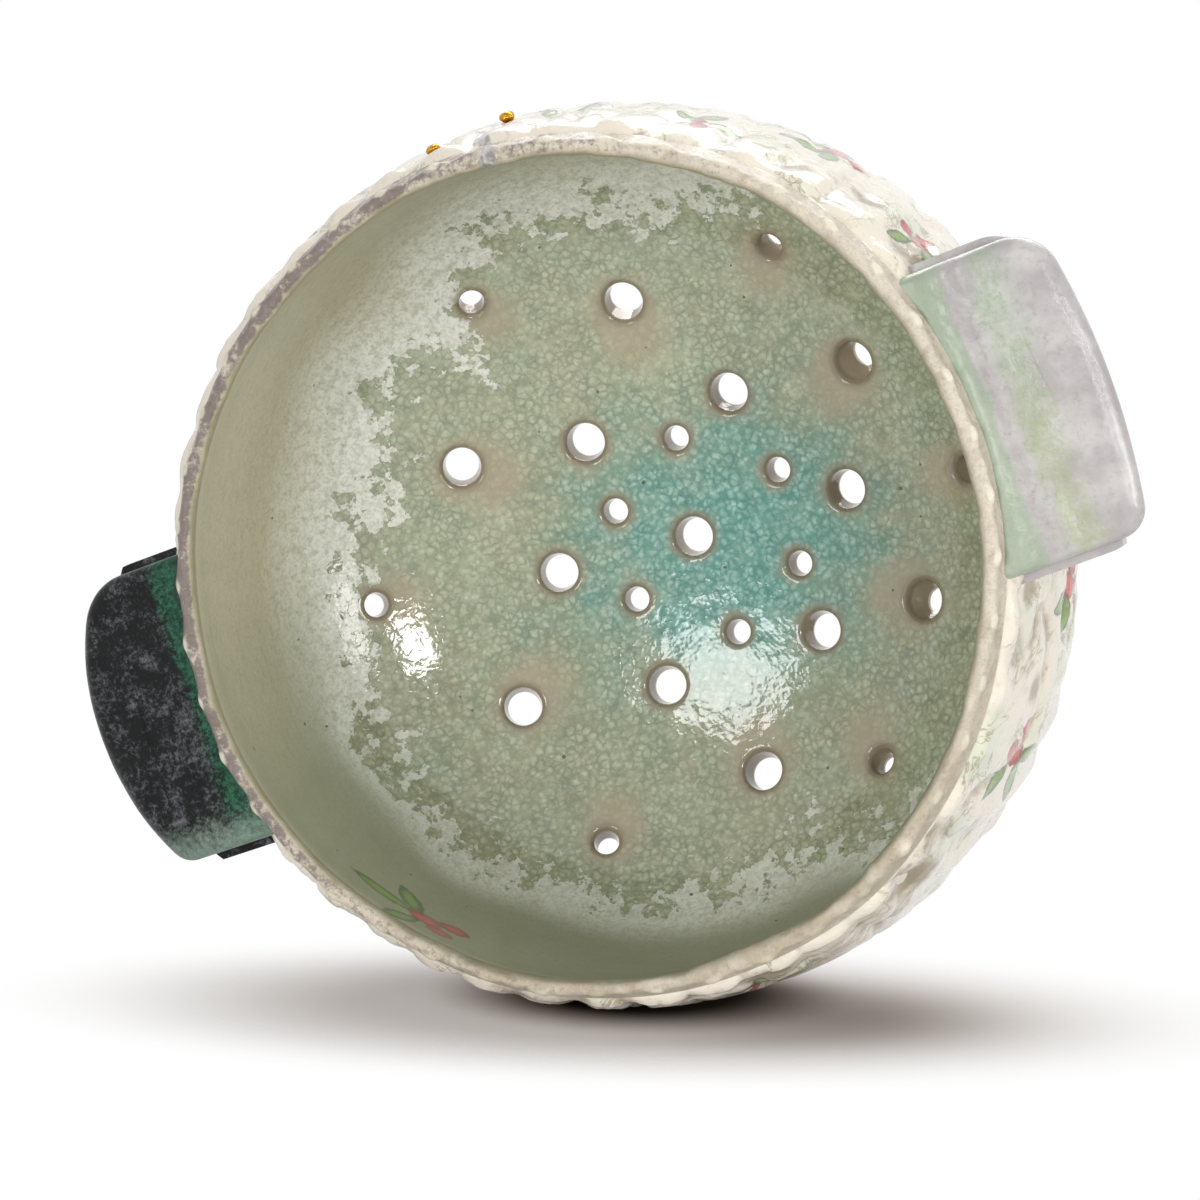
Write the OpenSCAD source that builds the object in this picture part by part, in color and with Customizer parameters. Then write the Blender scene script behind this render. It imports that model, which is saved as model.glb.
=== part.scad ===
// Handmade berry bowl: a deep stoneware bowl with drain holes, a coiled lip, a low foot ring,
// wavy ribs on its outer wall and two slab handles, each stiffened by a second slab below it.
// Millimetres, +Z up, foot on z = 0, bowl axis on the Z axis, handles along X.

/* [Mouth] */
// Outer radius of the mouth, across the lip
rim_r = 75; // [66:1:84]
// Width of the lip, seen from above
lip_w = 3; // [2.5:0.5:5]
// Height of the clay coil that forms the lip
lip_h = 4; // [3:0.5:7]

/* [Wall] */
// Outer radius of the wall at its widest, without the ribs
belly_r = 80.5; // [72:0.5:90]
// Depth of the widest place below the mouth
belly_drop = 38; // [30:1:46]
// Thickness of the wall
wall_t = 4.5; // [3.5:0.5:6]
// Depth of the inside, from the mouth to the floor
bowl_depth = 76; // [66:1:90]
// Thickness of the floor
floor_t = 5; // [4:0.5:8]

/* [Foot] */
// Outer radius of the foot ring
foot_r = 43.5; // [42.5:0.5:44.5]
// Width of the foot ring
foot_w = 5.5; // [4:0.5:6]
// Height of the foot ring below the floor
foot_h = 5; // [3:0.5:9]
// Bevel on the two lower edges of the foot ring
foot_bevel = 0.8; // [0.4:0.1:1.5]

/* [Drain holes] */
// Diameter of the large drain holes
large_bore_d = 7.4; // [5:0.2:8]
// Diameter of the small drain holes
small_bore_d = 4.8; // [3:0.2:6]
// Radius of the inner ring of small holes
ring_a_r = 19.5; // [18:0.5:21]
// Radius of the inner ring of large holes
ring_b_r = 29.7; // [28.5:0.1:30.5]
// Radius of the outer ring of large holes
ring_c_r = 47.5; // [47:0.5:50]
// Radius of the outer ring of small holes
ring_d_r = 59.5; // [58:0.5:61]

/* [Ribs] */
// Number of ribs round the wall
rib_count = 44; // [40:4:52]
// Height of a rib above the wall
rib_h = 2; // [1:0.25:3]
// Width of a rib, as a share of the space that one rib has
rib_w_share = 0.88; // [0.7:0.02:0.92]
// Swing of the wavy ribs to each side, in degrees
rib_swing = 2.4; // [0:0.2:4]

/* [Pale handle] */
// How far the pale handle stands out from the mouth
pale_reach = 23.3; // [16:0.1:30]
// Length of the pale handle along the wall
pale_w = 54; // [44:1:60]
// Radius of the pale handle's outer corner on the -Y side
pale_corner_a = 8; // [3:0.5:12]
// Radius of the pale handle's outer corner on the +Y side
pale_corner_b = 5; // [3:0.5:12]
// Radius of the bow of the pale handle's outer edge
pale_bow_r = 130; // [60:2:160]
// Turn of the pale handle away from the X axis, in degrees
pale_turn = 1.4; // [-3:0.2:3]

/* [Dark handle] */
// How far the dark handle stands out from the mouth
dark_reach = 25.7; // [20:0.1:34]
// Length of the dark handle along the wall
dark_w = 54; // [44:1:60]
// Radius of the dark handle's outer corner on the -Y side
dark_corner_a = 12; // [4:0.5:15]
// Radius of the dark handle's outer corner on the +Y side
dark_corner_b = 5; // [4:0.5:15]
// Radius of the bow of the dark handle's outer edge
dark_bow_r = 44; // [42:1:120]
// Turn of the dark handle away from the X axis, in degrees
dark_turn = 0; // [-3:0.2:3]

/* [Both handles] */
// Drop of the handles' top below the mouth
handle_drop = 3; // [2:0.5:6]
// Thickness of a handle's slab
handle_t = 5.5; // [4:0.5:8]
// Radius of the slab's droop, from the wall to its outer edge
droop_r = 90; // [55:1:120]
// Thickness of the bracket slab at its outer end
bracket_t = 3; // [2:0.5:5]
// Depth of the bracket slab where it meets the wall
bracket_root = 9; // [6:0.5:14]
// How much longer than its handle the bracket is, at each end
bracket_past = 1.5; // [0.5:0.25:3]
// How far the bracket's outer end stays back from the handle's edge
bracket_back = 5; // [3:0.5:9]

/* [Gilded nubs] */
// Width of a gilded nub at its base
nub_d = 3; // [2:0.25:4]
// Height of a gilded nub
nub_h = 2.2; // [1.2:0.2:3.2]

/* [Hidden] */

// Fineness of the turned surfaces
$fn = 96;
// Overrun of a cutting tool past the surface it cuts
cut = 2;
// Room left between a faceted piece and the turned wall it lies on
seat_gap = 0.05;
// Roundness of the belly: 2 is an ellipse, more is squarer
curve_n = 2.15;
// Number of straight steps in the outline above and below the widest place
upper_steps = 7;
lower_steps = 14;
// Number of straight steps in the rounded lip
lip_steps = 8;
// Rounding of the lip as a share of its width
lip_round_share = 0.5;

rim_z = foot_h + floor_t + bowl_depth;
shell_z = rim_z - lip_h;
inner_top_r = rim_r - lip_w;
inner_belly_r = belly_r - wall_t;
outer_low_h = bowl_depth + floor_t - belly_drop;
inner_low_h = bowl_depth - belly_drop;

// Where each ring's holes were drilled: turns in degrees, and reach as a share of the ring's radius
ring_a_turns = [260, 198, 148, 97, 28, 324];
ring_a_shares = [0.99, 1.11, 1.13, 1.05, 0.87, 0.84];
ring_b_turns = [235, 178, 127, 61, 356, 300];
ring_b_shares = [0.98, 1.10, 1.06, 0.99, 0.94, 0.94];
ring_c_turns = [265, 206, 148, 90, 26, 324];
ring_c_shares = [0.99, 1.01, 1.02, 0.99, 0.99, 0.99];
ring_d_turns = [232, 175, 115, 57, 353, 292];
ring_d_shares = [0.99, 0.97, 0.96, 1.01, 1.04, 1.02];

// A superellipse quarter: x and y shares of its two half axes at angle t
function quarter(t) = [pow(cos(t), 2 / curve_n), pow(sin(t), 2 / curve_n)];

// Radius of a wall surface above its widest place, at depth d below the mouth
function upper_r(top_r, mid_r, d) = top_r + (mid_r - top_r) * sin(90 * d / belly_drop);

// Outline of a wall surface as [radius, z], from depth d0 below the mouth to the axis
function wall_line(top_r, mid_r, low_h, d0) = concat(
    [for (i = [0 : upper_steps - 1])
        let (d = d0 + (belly_drop - d0) * i / upper_steps)
        [upper_r(top_r, mid_r, d), rim_z - d]],
    [for (i = [0 : lower_steps])
        let (q = quarter(90 * i / lower_steps))
        [i == lower_steps ? 0 : mid_r * q[0], rim_z - belly_drop - low_h * q[1]]]);

outer_line = wall_line(rim_r, belly_r, outer_low_h, lip_h);
inner_line = wall_line(inner_top_r, inner_belly_r, inner_low_h, lip_h);

function reversed(list) = [for (i = [len(list) - 1 : -1 : 0]) list[i]];

// The solid that the outer wall encloses, up to the top of the lip
module full_bowl(top_z) {
    rotate_extrude()
        polygon(concat([[0, top_z], [rim_r, top_z]], outer_line));
}

// Depth of the inner surface below the widest place, at radius r
function inner_drop(r) = inner_low_h * pow(1 - pow(r / inner_belly_r, curve_n), 1 / curve_n);

// Lean of the inner surface's normal away from straight down, at radius r
function inner_lean(r) = atan2(
    pow(r / inner_belly_r, curve_n - 1) / inner_belly_r,
    pow(inner_drop(r) / inner_low_h, curve_n - 1) / inner_low_h);

// A drill standing square on the inner surface at radius r
module drill(r, turn, bore_d) {
    rotate([0, 0, turn])
        translate([r, 0, rim_z - belly_drop - inner_drop(r)])
            rotate([0, -inner_lean(r), 0])
                cylinder(d = bore_d, h = 4 * floor_t, center = true);
}

module drill_ring(ring_r, turns, shares, bore_d) {
    for (i = [0 : len(turns) - 1])
        drill(ring_r * shares[i], turns[i], bore_d);
}

module bowl_shell() {
    color("#9fae9c")
        difference() {
            rotate_extrude()
                polygon(concat(outer_line, reversed(inner_line)));
            drill(0, 0, large_bore_d);
            drill_ring(ring_a_r, ring_a_turns, ring_a_shares, small_bore_d);
            drill_ring(ring_b_r, ring_b_turns, ring_b_shares, large_bore_d);
            drill_ring(ring_c_r, ring_c_turns, ring_c_shares, large_bore_d);
            drill_ring(ring_d_r, ring_d_turns, ring_d_shares, small_bore_d);
        }
}

// Radii of the wall's two surfaces where the lip coil sits on it
lip_foot_out = upper_r(rim_r, belly_r, lip_h);
lip_foot_in = upper_r(inner_top_r, inner_belly_r, lip_h);
lip_round = lip_w * lip_round_share;

module rim_lip() {
    color("#cfc6b8")
        rotate_extrude()
            polygon(concat(
                [[lip_foot_in, shell_z], [lip_foot_out, shell_z]],
                [for (i = [0 : lip_steps])
                    let (t = 180 * i / lip_steps)
                    [rim_r - lip_w / 2 + lip_round * cos(t), rim_z - lip_round + lip_round * sin(t)]]));
}

module foot_ring() {
    color("#b9b09c")
        difference() {
            rotate_extrude()
                polygon([
                    [foot_r - foot_w + foot_bevel, 0],
                    [foot_r - foot_bevel, 0],
                    [foot_r, foot_bevel],
                    [foot_r, foot_h + 2 * floor_t],
                    [foot_r - foot_w, foot_h + 2 * floor_t],
                    [foot_r - foot_w, foot_bevel]]);
            full_bowl(rim_z);
        }
}

// Ribs follow the outline of the wall, from one of its points to another
rib_pitch = 360 / rib_count;
rib_half = rib_pitch * rib_w_share / 2;
rib_last = upper_steps + 5;
// Height of a rib at its two ends, as a share of its full height
rib_end_share = 0.3;
// Place and height of a rib's shoulder, as shares of its half width and of its height
shoulder_w_share = 0.6;
shoulder_h_share = 0.78;
// Number of ribs that start below a handle, on each side
short_ribs = 7;

// The six points of a rib's section at one outline point. u runs from 0 to 1 along the rib, and
// the swing follows the outline, so that ribs of different lengths lie side by side
function rib_section(turn, point_at, u) =
    let (
        at = outer_line[point_at],
        base = at[0] / cos(rib_half / 2) + seat_gap,
        h = rib_h * (rib_end_share + (1 - rib_end_share) * pow(sin(180 * u), 0.5)),
        mid = turn + rib_swing * sin(360 * point_at / rib_last),
        side = [-1, -shoulder_w_share, 0, shoulder_w_share, 1, 0],
        up = [0, shoulder_h_share, 1, shoulder_h_share, 0, 0])
    [for (i = [0 : 5])
        let (a = mid + side[i] * rib_half, r = base + up[i] * h)
        [r * cos(a), r * sin(a), at[1]]];

// One rib as a closed solid, from outline point first to outline point last
module rib(turn, first, last) {
    n = last - first;
    points = [for (k = [0 : n]) each rib_section(turn, first + k, k / n)];
    sides = [for (k = [0 : n - 1]) for (i = [0 : 5])
        let (a = 6 * k + i, b = 6 * k + (i + 1) % 6)
        each [[a, a + 6, b], [b, a + 6, b + 6]]];
    ends = [for (i = [1 : 4]) each [[0, i, i + 1], [6 * n, 6 * n + i + 1, 6 * n + i]]];
    polyhedron(points = points, faces = concat(sides, ends));
}

module rib_row(middle_turn, count, first) {
    color("#d8d8c6")
        for (i = [0 : count - 1])
            rib(middle_turn + rib_pitch * (i - (count - 1) / 2), first, rib_last);
}

long_ribs = (rib_count - 2 * short_ribs) / 2;
// Turn of the front's middle
front_turn = 270;
// Outline points at which the long and the short ribs begin
long_first = 0;
short_first = 4;

module ribs_front() { rib_row(front_turn, long_ribs, long_first); }
module ribs_back() { rib_row(90, long_ribs, long_first); }
module ribs_under_pale_handle() { rib_row(180, short_ribs, short_first); }
module ribs_under_dark_handle() { rib_row(0, short_ribs, short_first); }

handle_z = rim_z - handle_drop;

// Outline of a handle seen from above, as [reach, length, corner, corner, bow]: a bar whose
// outer edge is bowed and whose two outer corners are rounded
module tab_outline(form) {
    out_x = rim_r + form[0];
    half_w = form[1] / 2;
    corner_a = form[2];
    corner_b = form[3];
    bow_r = form[4];
    intersection() {
        union() {
            translate([rim_r / 2, corner_a - half_w])
                square([out_x - rim_r / 2, 2 * half_w - corner_a - corner_b]);
            translate([out_x - corner_a, corner_a - half_w])
                circle(corner_a);
            translate([out_x - corner_b, half_w - corner_b])
                circle(corner_b);
            translate([rim_r / 2, 0])
                square([out_x - rim_r / 2 - corner_b, half_w]);
            translate([rim_r / 2, -half_w])
                square([out_x - rim_r / 2 - corner_a, half_w]);
        }
        translate([out_x - bow_r, 0])
            circle(bow_r);
    }
}

// A round bar along Y whose top is level with the handle's at the wall and droops outward
module droop_bar(r, long_w) {
    translate([rim_r, 0, handle_z - droop_r])
        rotate([90, 0, 0])
            cylinder(r = r, h = long_w + 2 * cut, center = true);
}

// Height of the slab's underside at a reach x from the mouth
function slab_under(x) = handle_z - droop_r + sqrt(pow(droop_r - handle_t, 2) - x * x);

// The slab that the hand holds: its outer edge droops, and it is as thick all over
module handle_slab(form) {
    low_z = slab_under(form[0]);
    difference() {
        intersection() {
            translate([0, 0, low_z])
                linear_extrude(handle_z - low_z)
                    tab_outline(form);
            droop_bar(droop_r, form[1]);
        }
        droop_bar(droop_r - handle_t, form[1]);
        full_bowl(rim_z);
    }
}

// The slab that fits below the handle, thick at the wall and thin at its outer end
module handle_bracket(form) {
    top_z = handle_z - handle_t;
    reach = form[0] - bracket_back;
    low_z = top_z - bracket_root;
    long_w = form[1] + 2 * bracket_past;
    difference() {
        intersection() {
            translate([0, 0, low_z])
                linear_extrude(bracket_root)
                    tab_outline([reach, long_w, form[2], form[3], form[4]]);
            droop_bar(droop_r - handle_t, long_w);
            rotate([90, 0, 0])
                linear_extrude(long_w + 2 * cut, center = true)
                    polygon([
                        [rim_r / 2, top_z],
                        [rim_r + reach, top_z],
                        [rim_r + reach, slab_under(reach) - bracket_t],
                        [rim_r, low_z],
                        [rim_r / 2, low_z]]);
        }
        full_bowl(rim_z);
    }
}

pale_form = [pale_reach, pale_w, pale_corner_b, pale_corner_a, pale_bow_r];
dark_form = [dark_reach, dark_w, dark_corner_a, dark_corner_b, dark_bow_r];

module pale_handle() {
    color("#c9c5cb")
        rotate([0, 0, 180 + pale_turn])
            handle_slab(pale_form);
}

module pale_handle_bracket() {
    color("#bcb8bd")
        rotate([0, 0, 180 + pale_turn])
            handle_bracket(pale_form);
}

module dark_handle() {
    color("#2c3133")
        rotate([0, 0, dark_turn])
            handle_slab(dark_form);
}

module dark_handle_bracket() {
    color("#23282a")
        rotate([0, 0, dark_turn])
            handle_bracket(dark_form);
}

// Ribs that carry a gilded nub, counted from the middle of the front row, and the outline point
nub_ribs = [0, -1];
nub_points = [1, 4];

// The crest of a long rib at one outline point, and its distance from the bowl's axis
function rib_crest(turn, point_at) = rib_section(turn, point_at, point_at / rib_last)[2];
function reach_of(point) = norm([point[0], point[1]]);

// A small rounded stud that stands on the crest of a rib, square to the crest's run there
module nub(rib_at, point_at) {
    turn = front_turn + rib_pitch * rib_at;
    before = rib_crest(turn, point_at - 1);
    after = rib_crest(turn, point_at + 1);
    crest = rib_crest(turn, point_at);
    lean = atan2(reach_of(before) - reach_of(after), before[2] - after[2]);
    translate(crest)
        rotate([0, 0, atan2(crest[1], crest[0])])
            rotate([0, 90 + lean, 0])
                translate([0, 0, seat_gap]) {
                    cylinder(d1 = nub_d, d2 = nub_d / 2, h = nub_h - nub_d / 4);
                    translate([0, 0, nub_h - nub_d / 4])
                        sphere(d = nub_d / 2);
                }
}

module gilded_nubs() {
    color("#caa23a")
        for (i = [0 : len(nub_ribs) - 1])
            nub(nub_ribs[i], nub_points[i]);
}

bowl_shell();
rim_lip();
foot_ring();
ribs_front();
ribs_back();
ribs_under_pale_handle();
ribs_under_dark_handle();
pale_handle();
pale_handle_bracket();
dark_handle();
dark_handle_bracket();
gilded_nubs();
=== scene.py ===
"""Looks of a handmade berry bowl: glazed shell, lip, wavy relief, handles and painted sprigs."""
import math

import bpy
import numpy as np
from mathutils import Matrix, Vector, geometry, noise


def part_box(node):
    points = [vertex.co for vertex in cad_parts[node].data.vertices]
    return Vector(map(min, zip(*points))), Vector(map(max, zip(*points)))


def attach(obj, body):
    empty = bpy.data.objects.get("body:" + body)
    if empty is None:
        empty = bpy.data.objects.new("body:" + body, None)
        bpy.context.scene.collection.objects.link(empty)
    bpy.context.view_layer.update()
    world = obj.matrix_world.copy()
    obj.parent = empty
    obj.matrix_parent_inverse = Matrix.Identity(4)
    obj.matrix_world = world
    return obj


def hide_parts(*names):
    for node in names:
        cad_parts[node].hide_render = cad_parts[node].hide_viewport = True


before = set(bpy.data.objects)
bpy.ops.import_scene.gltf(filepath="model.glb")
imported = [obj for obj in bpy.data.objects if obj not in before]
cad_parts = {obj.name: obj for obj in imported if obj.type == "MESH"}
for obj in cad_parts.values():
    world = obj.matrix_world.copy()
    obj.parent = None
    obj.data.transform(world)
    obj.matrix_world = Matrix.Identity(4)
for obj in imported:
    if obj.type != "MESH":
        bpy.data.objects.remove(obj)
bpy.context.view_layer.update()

MM = 0.001


# Sizes of the turned wall, in millimetres, read from the frame or repeated from the part's source
def node_box(node):
    """A CAD node's lowest and highest corners, in millimetres."""
    low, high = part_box(node)
    return np.array(low) / MM, np.array(high) / MM


lip_low, lip_high = node_box("rim_lip")
shell_low, shell_high = node_box("bowl_shell")

RIM_Z = lip_high[2]
LIP_H = RIM_Z - lip_low[2]
BELLY_R = shell_high[0]
FOOT_H = shell_low[2]
RIM_R = 75.0
LIP_W = 3.0
WALL_T = 4.5
FLOOR_T = 5.0
BELLY_DROP = 38.0
CURVE_N = 2.15
INNER_TOP_R = RIM_R - LIP_W
INNER_BELLY_R = BELLY_R - WALL_T
BELLY_Z = RIM_Z - BELLY_DROP
OUTER_LOW_H = BELLY_Z - FOOT_H
INNER_LOW_H = OUTER_LOW_H - FLOOR_T

# Drain holes: ring radius, bore diameter, turns in degrees, reach as a share of the ring's radius
LARGE_BORE = 7.4
SMALL_BORE = 4.8
HOLE_RINGS = [
    (0.0, LARGE_BORE, [0], [1]),
    (19.5, SMALL_BORE, [260, 198, 148, 97, 28, 324], [0.99, 1.11, 1.13, 1.05, 0.87, 0.84]),
    (29.7, LARGE_BORE, [235, 178, 127, 61, 356, 300], [0.98, 1.10, 1.06, 0.99, 0.94, 0.94]),
    (47.5, LARGE_BORE, [265, 206, 148, 90, 26, 324], [0.99, 1.01, 1.02, 0.99, 0.99, 0.99]),
    (59.5, SMALL_BORE, [232, 175, 115, 57, 353, 292], [0.99, 0.97, 0.96, 1.01, 1.04, 1.02]),
]

# Small helpers
LUMP_GAIN = 1.6
SEED_STEP = (17.3, 5.1, -9.7)


def smooth_step(low, high, x):
    """0 at low, 1 at high, with a soft rise between them."""
    t = np.clip((np.asarray(x, float) - low) / (high - low), 0, 1)
    return t * t * (3 - 2 * t)


def mix(a, b, share):
    """A value that goes from a to b while share goes from 0 to 1."""
    return a + (b - a) * share


def lumps(points, size, seed):
    """Smooth noise, about -1 to 1, at points in millimetres; size is the width of its lumps."""
    offset = Vector([seed * step for step in SEED_STEP])
    return np.array([noise.noise(Vector(p) / size + offset) for p in points]) * LUMP_GAIN


def cos_sin(turn):
    """Cosine and sine of a turn in radians."""
    return math.cos(turn), math.sin(turn)


def turn_of(points):
    """Turn of points round the bowl's axis, in radians."""
    return np.arctan2(points[:, 1], points[:, 0])


def reach_of(points):
    """Distance of points from the bowl's axis."""
    return np.hypot(points[:, 0], points[:, 1])


def along_and_across(off, axis):
    """Parts of some offsets along a unit axis and square to it."""
    along = off @ axis
    return along, np.linalg.norm(off - along[:, None] * axis, axis=1)


def angle_gap(a, b):
    """Difference of two turns in degrees, from -180 to 180."""
    return (np.asarray(a) - b + 180) % 360 - 180


def near_turn(degrees, centre, start, full):
    """1 where turns are within full degrees of a centre, 0 beyond start degrees of it."""
    return smooth_step(start, full, np.abs(angle_gap(degrees, centre)))


def round_curve(turns, turn_list, value_list):
    """Smooth closed curve through the values given at some turns, in degrees."""
    turn_list, value_list = np.array(turn_list, float), np.array(value_list, float)
    x = np.concatenate([turn_list - 360, turn_list, turn_list + 360])
    y = np.tile(value_list, 3)
    turns = np.asarray(turns) % 360
    at = np.clip(np.searchsorted(x, turns) - 1, 0, len(x) - 2)
    t = (turns - x[at]) / (x[at + 1] - x[at])
    return mix(y[at], y[at + 1], t * t * (3 - 2 * t))


# Outlines are cut into this many points below the belly and above it
LOW_POINTS = 400
HIGH_POINTS = 120


class Wall:
    """One turned surface of the bowl: its outline from the axis to the mouth, by arc length."""

    def __init__(self, top_r, mid_r, low_h):
        self.mid_r, self.low_h = mid_r, low_h
        turn = np.linspace(math.pi / 2, 0, LOW_POINTS)
        low = np.stack([mid_r * np.cos(turn) ** (2 / CURVE_N),
                        BELLY_Z - low_h * np.sin(turn) ** (2 / CURVE_N)], 1)
        drop = np.linspace(BELLY_DROP, LIP_H, HIGH_POINTS)[1:]
        high = np.stack([top_r + (mid_r - top_r) * np.sin(math.pi / 2 * drop / BELLY_DROP),
                         RIM_Z - drop], 1)
        self.line = np.concatenate([low, high])
        steps = np.linalg.norm(np.diff(self.line, axis=0), axis=1)
        self.s = np.concatenate([[0], np.cumsum(steps)])
        self.length = self.s[-1]
        run = np.gradient(self.line, self.s, axis=0)
        self.out = np.stack([run[:, 1], -run[:, 0]], 1)
        self.out /= np.linalg.norm(self.out, axis=1)[:, None]

    def at(self, s):
        """Radius, height and the outward normal's two parts at arc length s from the axis."""
        r, z = (np.interp(s, self.s, self.line[:, i]) for i in (0, 1))
        nr, nz = (np.interp(s, self.s, self.out[:, i]) for i in (0, 1))
        return r, z, nr, nz

    def place(self, s, turn, lift=0.0):
        """Points at arc length s and turn in radians, lifted off the surface along its normal."""
        r, z, nr, nz = self.at(s)
        reach = r + nr * lift
        return np.stack([reach * np.cos(turn), reach * np.sin(turn), z + nz * lift], 1)

    def arc_of_height(self, z):
        """Arc length of the point at a height."""
        return np.interp(z, self.line[:, 1], self.s)

    def arc_of_radius(self, r):
        """Arc length of the points below the belly whose radius is r."""
        low = self.line[:, 1] <= BELLY_Z
        return np.interp(r, self.line[low, 0], self.s[low])

    def leave(self, p):
        """Implicit value of the surface below the belly: zero on it, more outside it."""
        drop = np.maximum(BELLY_Z - p[:, 2], 0)
        return (reach_of(p) / self.mid_r) ** CURVE_N + (drop / self.low_h) ** CURVE_N - 1


inner_wall = Wall(INNER_TOP_R, INNER_BELLY_R, INNER_LOW_H)
outer_wall = Wall(RIM_R, BELLY_R, OUTER_LOW_H)

# Exits of the holes as shares of the bore. Glaze narrows and shifts those of the outer holes toward
# the pale handle: loss, shift and the reach and turns that this goes for.
EXIT_SHARE = 0.88
CLOGGED_LOSS = 0.3
CLOGGED_SHIFT = 1.5
CLOGGED_REACH = 40
CLOGGED_TURN = 180
CLOGGED_SPAN = 70
# How a ring of points round a hole is found on a wall
NEWTON_STEPS = 12
NEWTON_STEP = 1e-3
LARGE_COUNT = 44
SMALL_COUNT = 32


class Hole:
    """A drilled drain hole: its centre on the inner surface, the drill's frame and the exit."""

    def __init__(self, reach, turn, bore):
        self.reach, self.turn, self.radius = reach, math.radians(turn), bore / 2
        self.count = LARGE_COUNT if bore == LARGE_BORE else SMALL_COUNT
        clogged = reach > CLOGGED_REACH and abs(angle_gap(turn, CLOGGED_TURN)) < CLOGGED_SPAN
        size = bore / LARGE_BORE
        self.exit_share = 1 - CLOGGED_LOSS * size if clogged else EXIT_SHARE
        self.exit_shift = CLOGGED_SHIFT * size ** 2 if clogged else 0.0
        drop = INNER_LOW_H * (1 - (reach / INNER_BELLY_R) ** CURVE_N) ** (1 / CURVE_N)
        lean = math.atan2((reach / INNER_BELLY_R) ** (CURVE_N - 1) / INNER_BELLY_R,
                          (drop / INNER_LOW_H) ** (CURVE_N - 1) / INNER_LOW_H)
        c, s = cos_sin(self.turn)
        self.centre = np.array([reach * c, reach * s, BELLY_Z - drop])
        self.drill = np.array([math.sin(lean) * c, math.sin(lean) * s, -math.cos(lean)])
        self.side = np.array([-s, c, 0.0])
        self.away = np.cross(self.drill, self.side)

    def ring_points(self, wall, radius, start, shift):
        """Points of a ring along the drill's axis that lie on a wall, by Newton steps."""
        phi = np.arange(self.count) * 2 * math.pi / self.count
        base = (self.centre + shift * self.away
                + radius * (np.cos(phi)[:, None] * self.side + np.sin(phi)[:, None] * self.away))
        t = np.full(self.count, start)
        for _ in range(NEWTON_STEPS):
            p = base + t[:, None] * self.drill
            value = wall.leave(p)
            slope = (wall.leave(p + NEWTON_STEP * self.drill) - value) / NEWTON_STEP
            t = t - value / slope
        return base + t[:, None] * self.drill


holes = [Hole(ring_r * share, turn, bore)
         for ring_r, bore, turns, shares in HOLE_RINGS
         for turn, share in zip(turns, shares)]

# Mesh making
SHARP_ANGLE = 55


def add_object(name, points_mm, faces, attributes=None):
    """A mesh object from points in millimetres, with float attributes on its points."""
    mesh = bpy.data.meshes.new(name)
    mesh.from_pydata((np.asarray(points_mm) * MM).tolist(), [], faces)
    for key, values in (attributes or {}).items():
        layer = mesh.attributes.new(key, "FLOAT", "POINT")
        layer.data.foreach_set("value", np.asarray(values, np.float32))
    mesh.shade_smooth()
    mesh.set_sharp_from_angle(angle=math.radians(SHARP_ANGLE))
    mesh.update()
    obj = bpy.data.objects.new(name, mesh)
    bpy.context.scene.collection.objects.link(obj)
    return obj


def ring_faces(upper, lower):
    """Quads between two closed rings, given as lists of their points' numbers."""
    return list(zip(upper, upper[1:] + upper[:1], lower[1:] + lower[:1], lower))


def grid_faces(rows, columns, start=0, closed=True, flip=False):
    """Quads between rows of points; closed joins the last column to the first."""
    faces = []
    for i in range(rows - 1):
        for j in range(columns if closed else columns - 1):
            k = (j + 1) % columns
            a, b = start + i * columns + j, start + i * columns + k
            quad = (a, b, b + columns, a + columns)
            faces.append(quad[::-1] if flip else quad)
    return faces


# The shell's mesh: spacing, fillets and the rings round each hole, in millimetres
GRID = 1.5
MOUTH_COUNT = 288
LEAST_COUNT = 8
LIP_FILLET = 1.15
EXIT_FILLET = 0.6
FILLET_SHARES = [0.0, 0.04, 0.13, 0.28, 0.5, 0.75, 1.0]
APRON_STEPS = [0.5, 1.3, 2.2]
CLEAR_OF_RINGS = APRON_STEPS[-1] + 0.45 * GRID
CLEAR_DEPTH = 4 * FLOOR_T
MERGE_GAP = 1e-7
BORE_ROWS = 6
EDGE_RINGS = 3


def on_plane(s, turn):
    """The flat plane's points whose distance is the arc length s and whose direction is the turn."""
    return np.stack([s * np.cos(turn), s * np.sin(turn)], 1)


def hole_rings(wall, fillet, start, out_sign):
    """Rings of points round each hole's edge, in space and on the plane, and where each set starts."""
    points, plane, first = [], [], []
    for hole in holes:
        bore_r = hole.radius * (hole.exit_share if out_sign < 0 else 1)
        shift = hole.exit_shift if out_sign < 0 else 0
        first.append(len(plane))
        for step in [fillet * share for share in FILLET_SHARES] + [fillet + more for more in APRON_STEPS]:
            flat = hole.ring_points(wall, bore_r + step, start, shift)
            left = max(fillet - step, 0.0)
            sink = fillet - math.sqrt(max(fillet ** 2 - left ** 2, 0.0))
            s = wall.arc_of_radius(reach_of(flat))
            plane.extend(on_plane(s, turn_of(flat)).tolist())
            points.extend((flat + out_sign * sink * hole.drill).tolist())
    return points, plane, first


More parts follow.
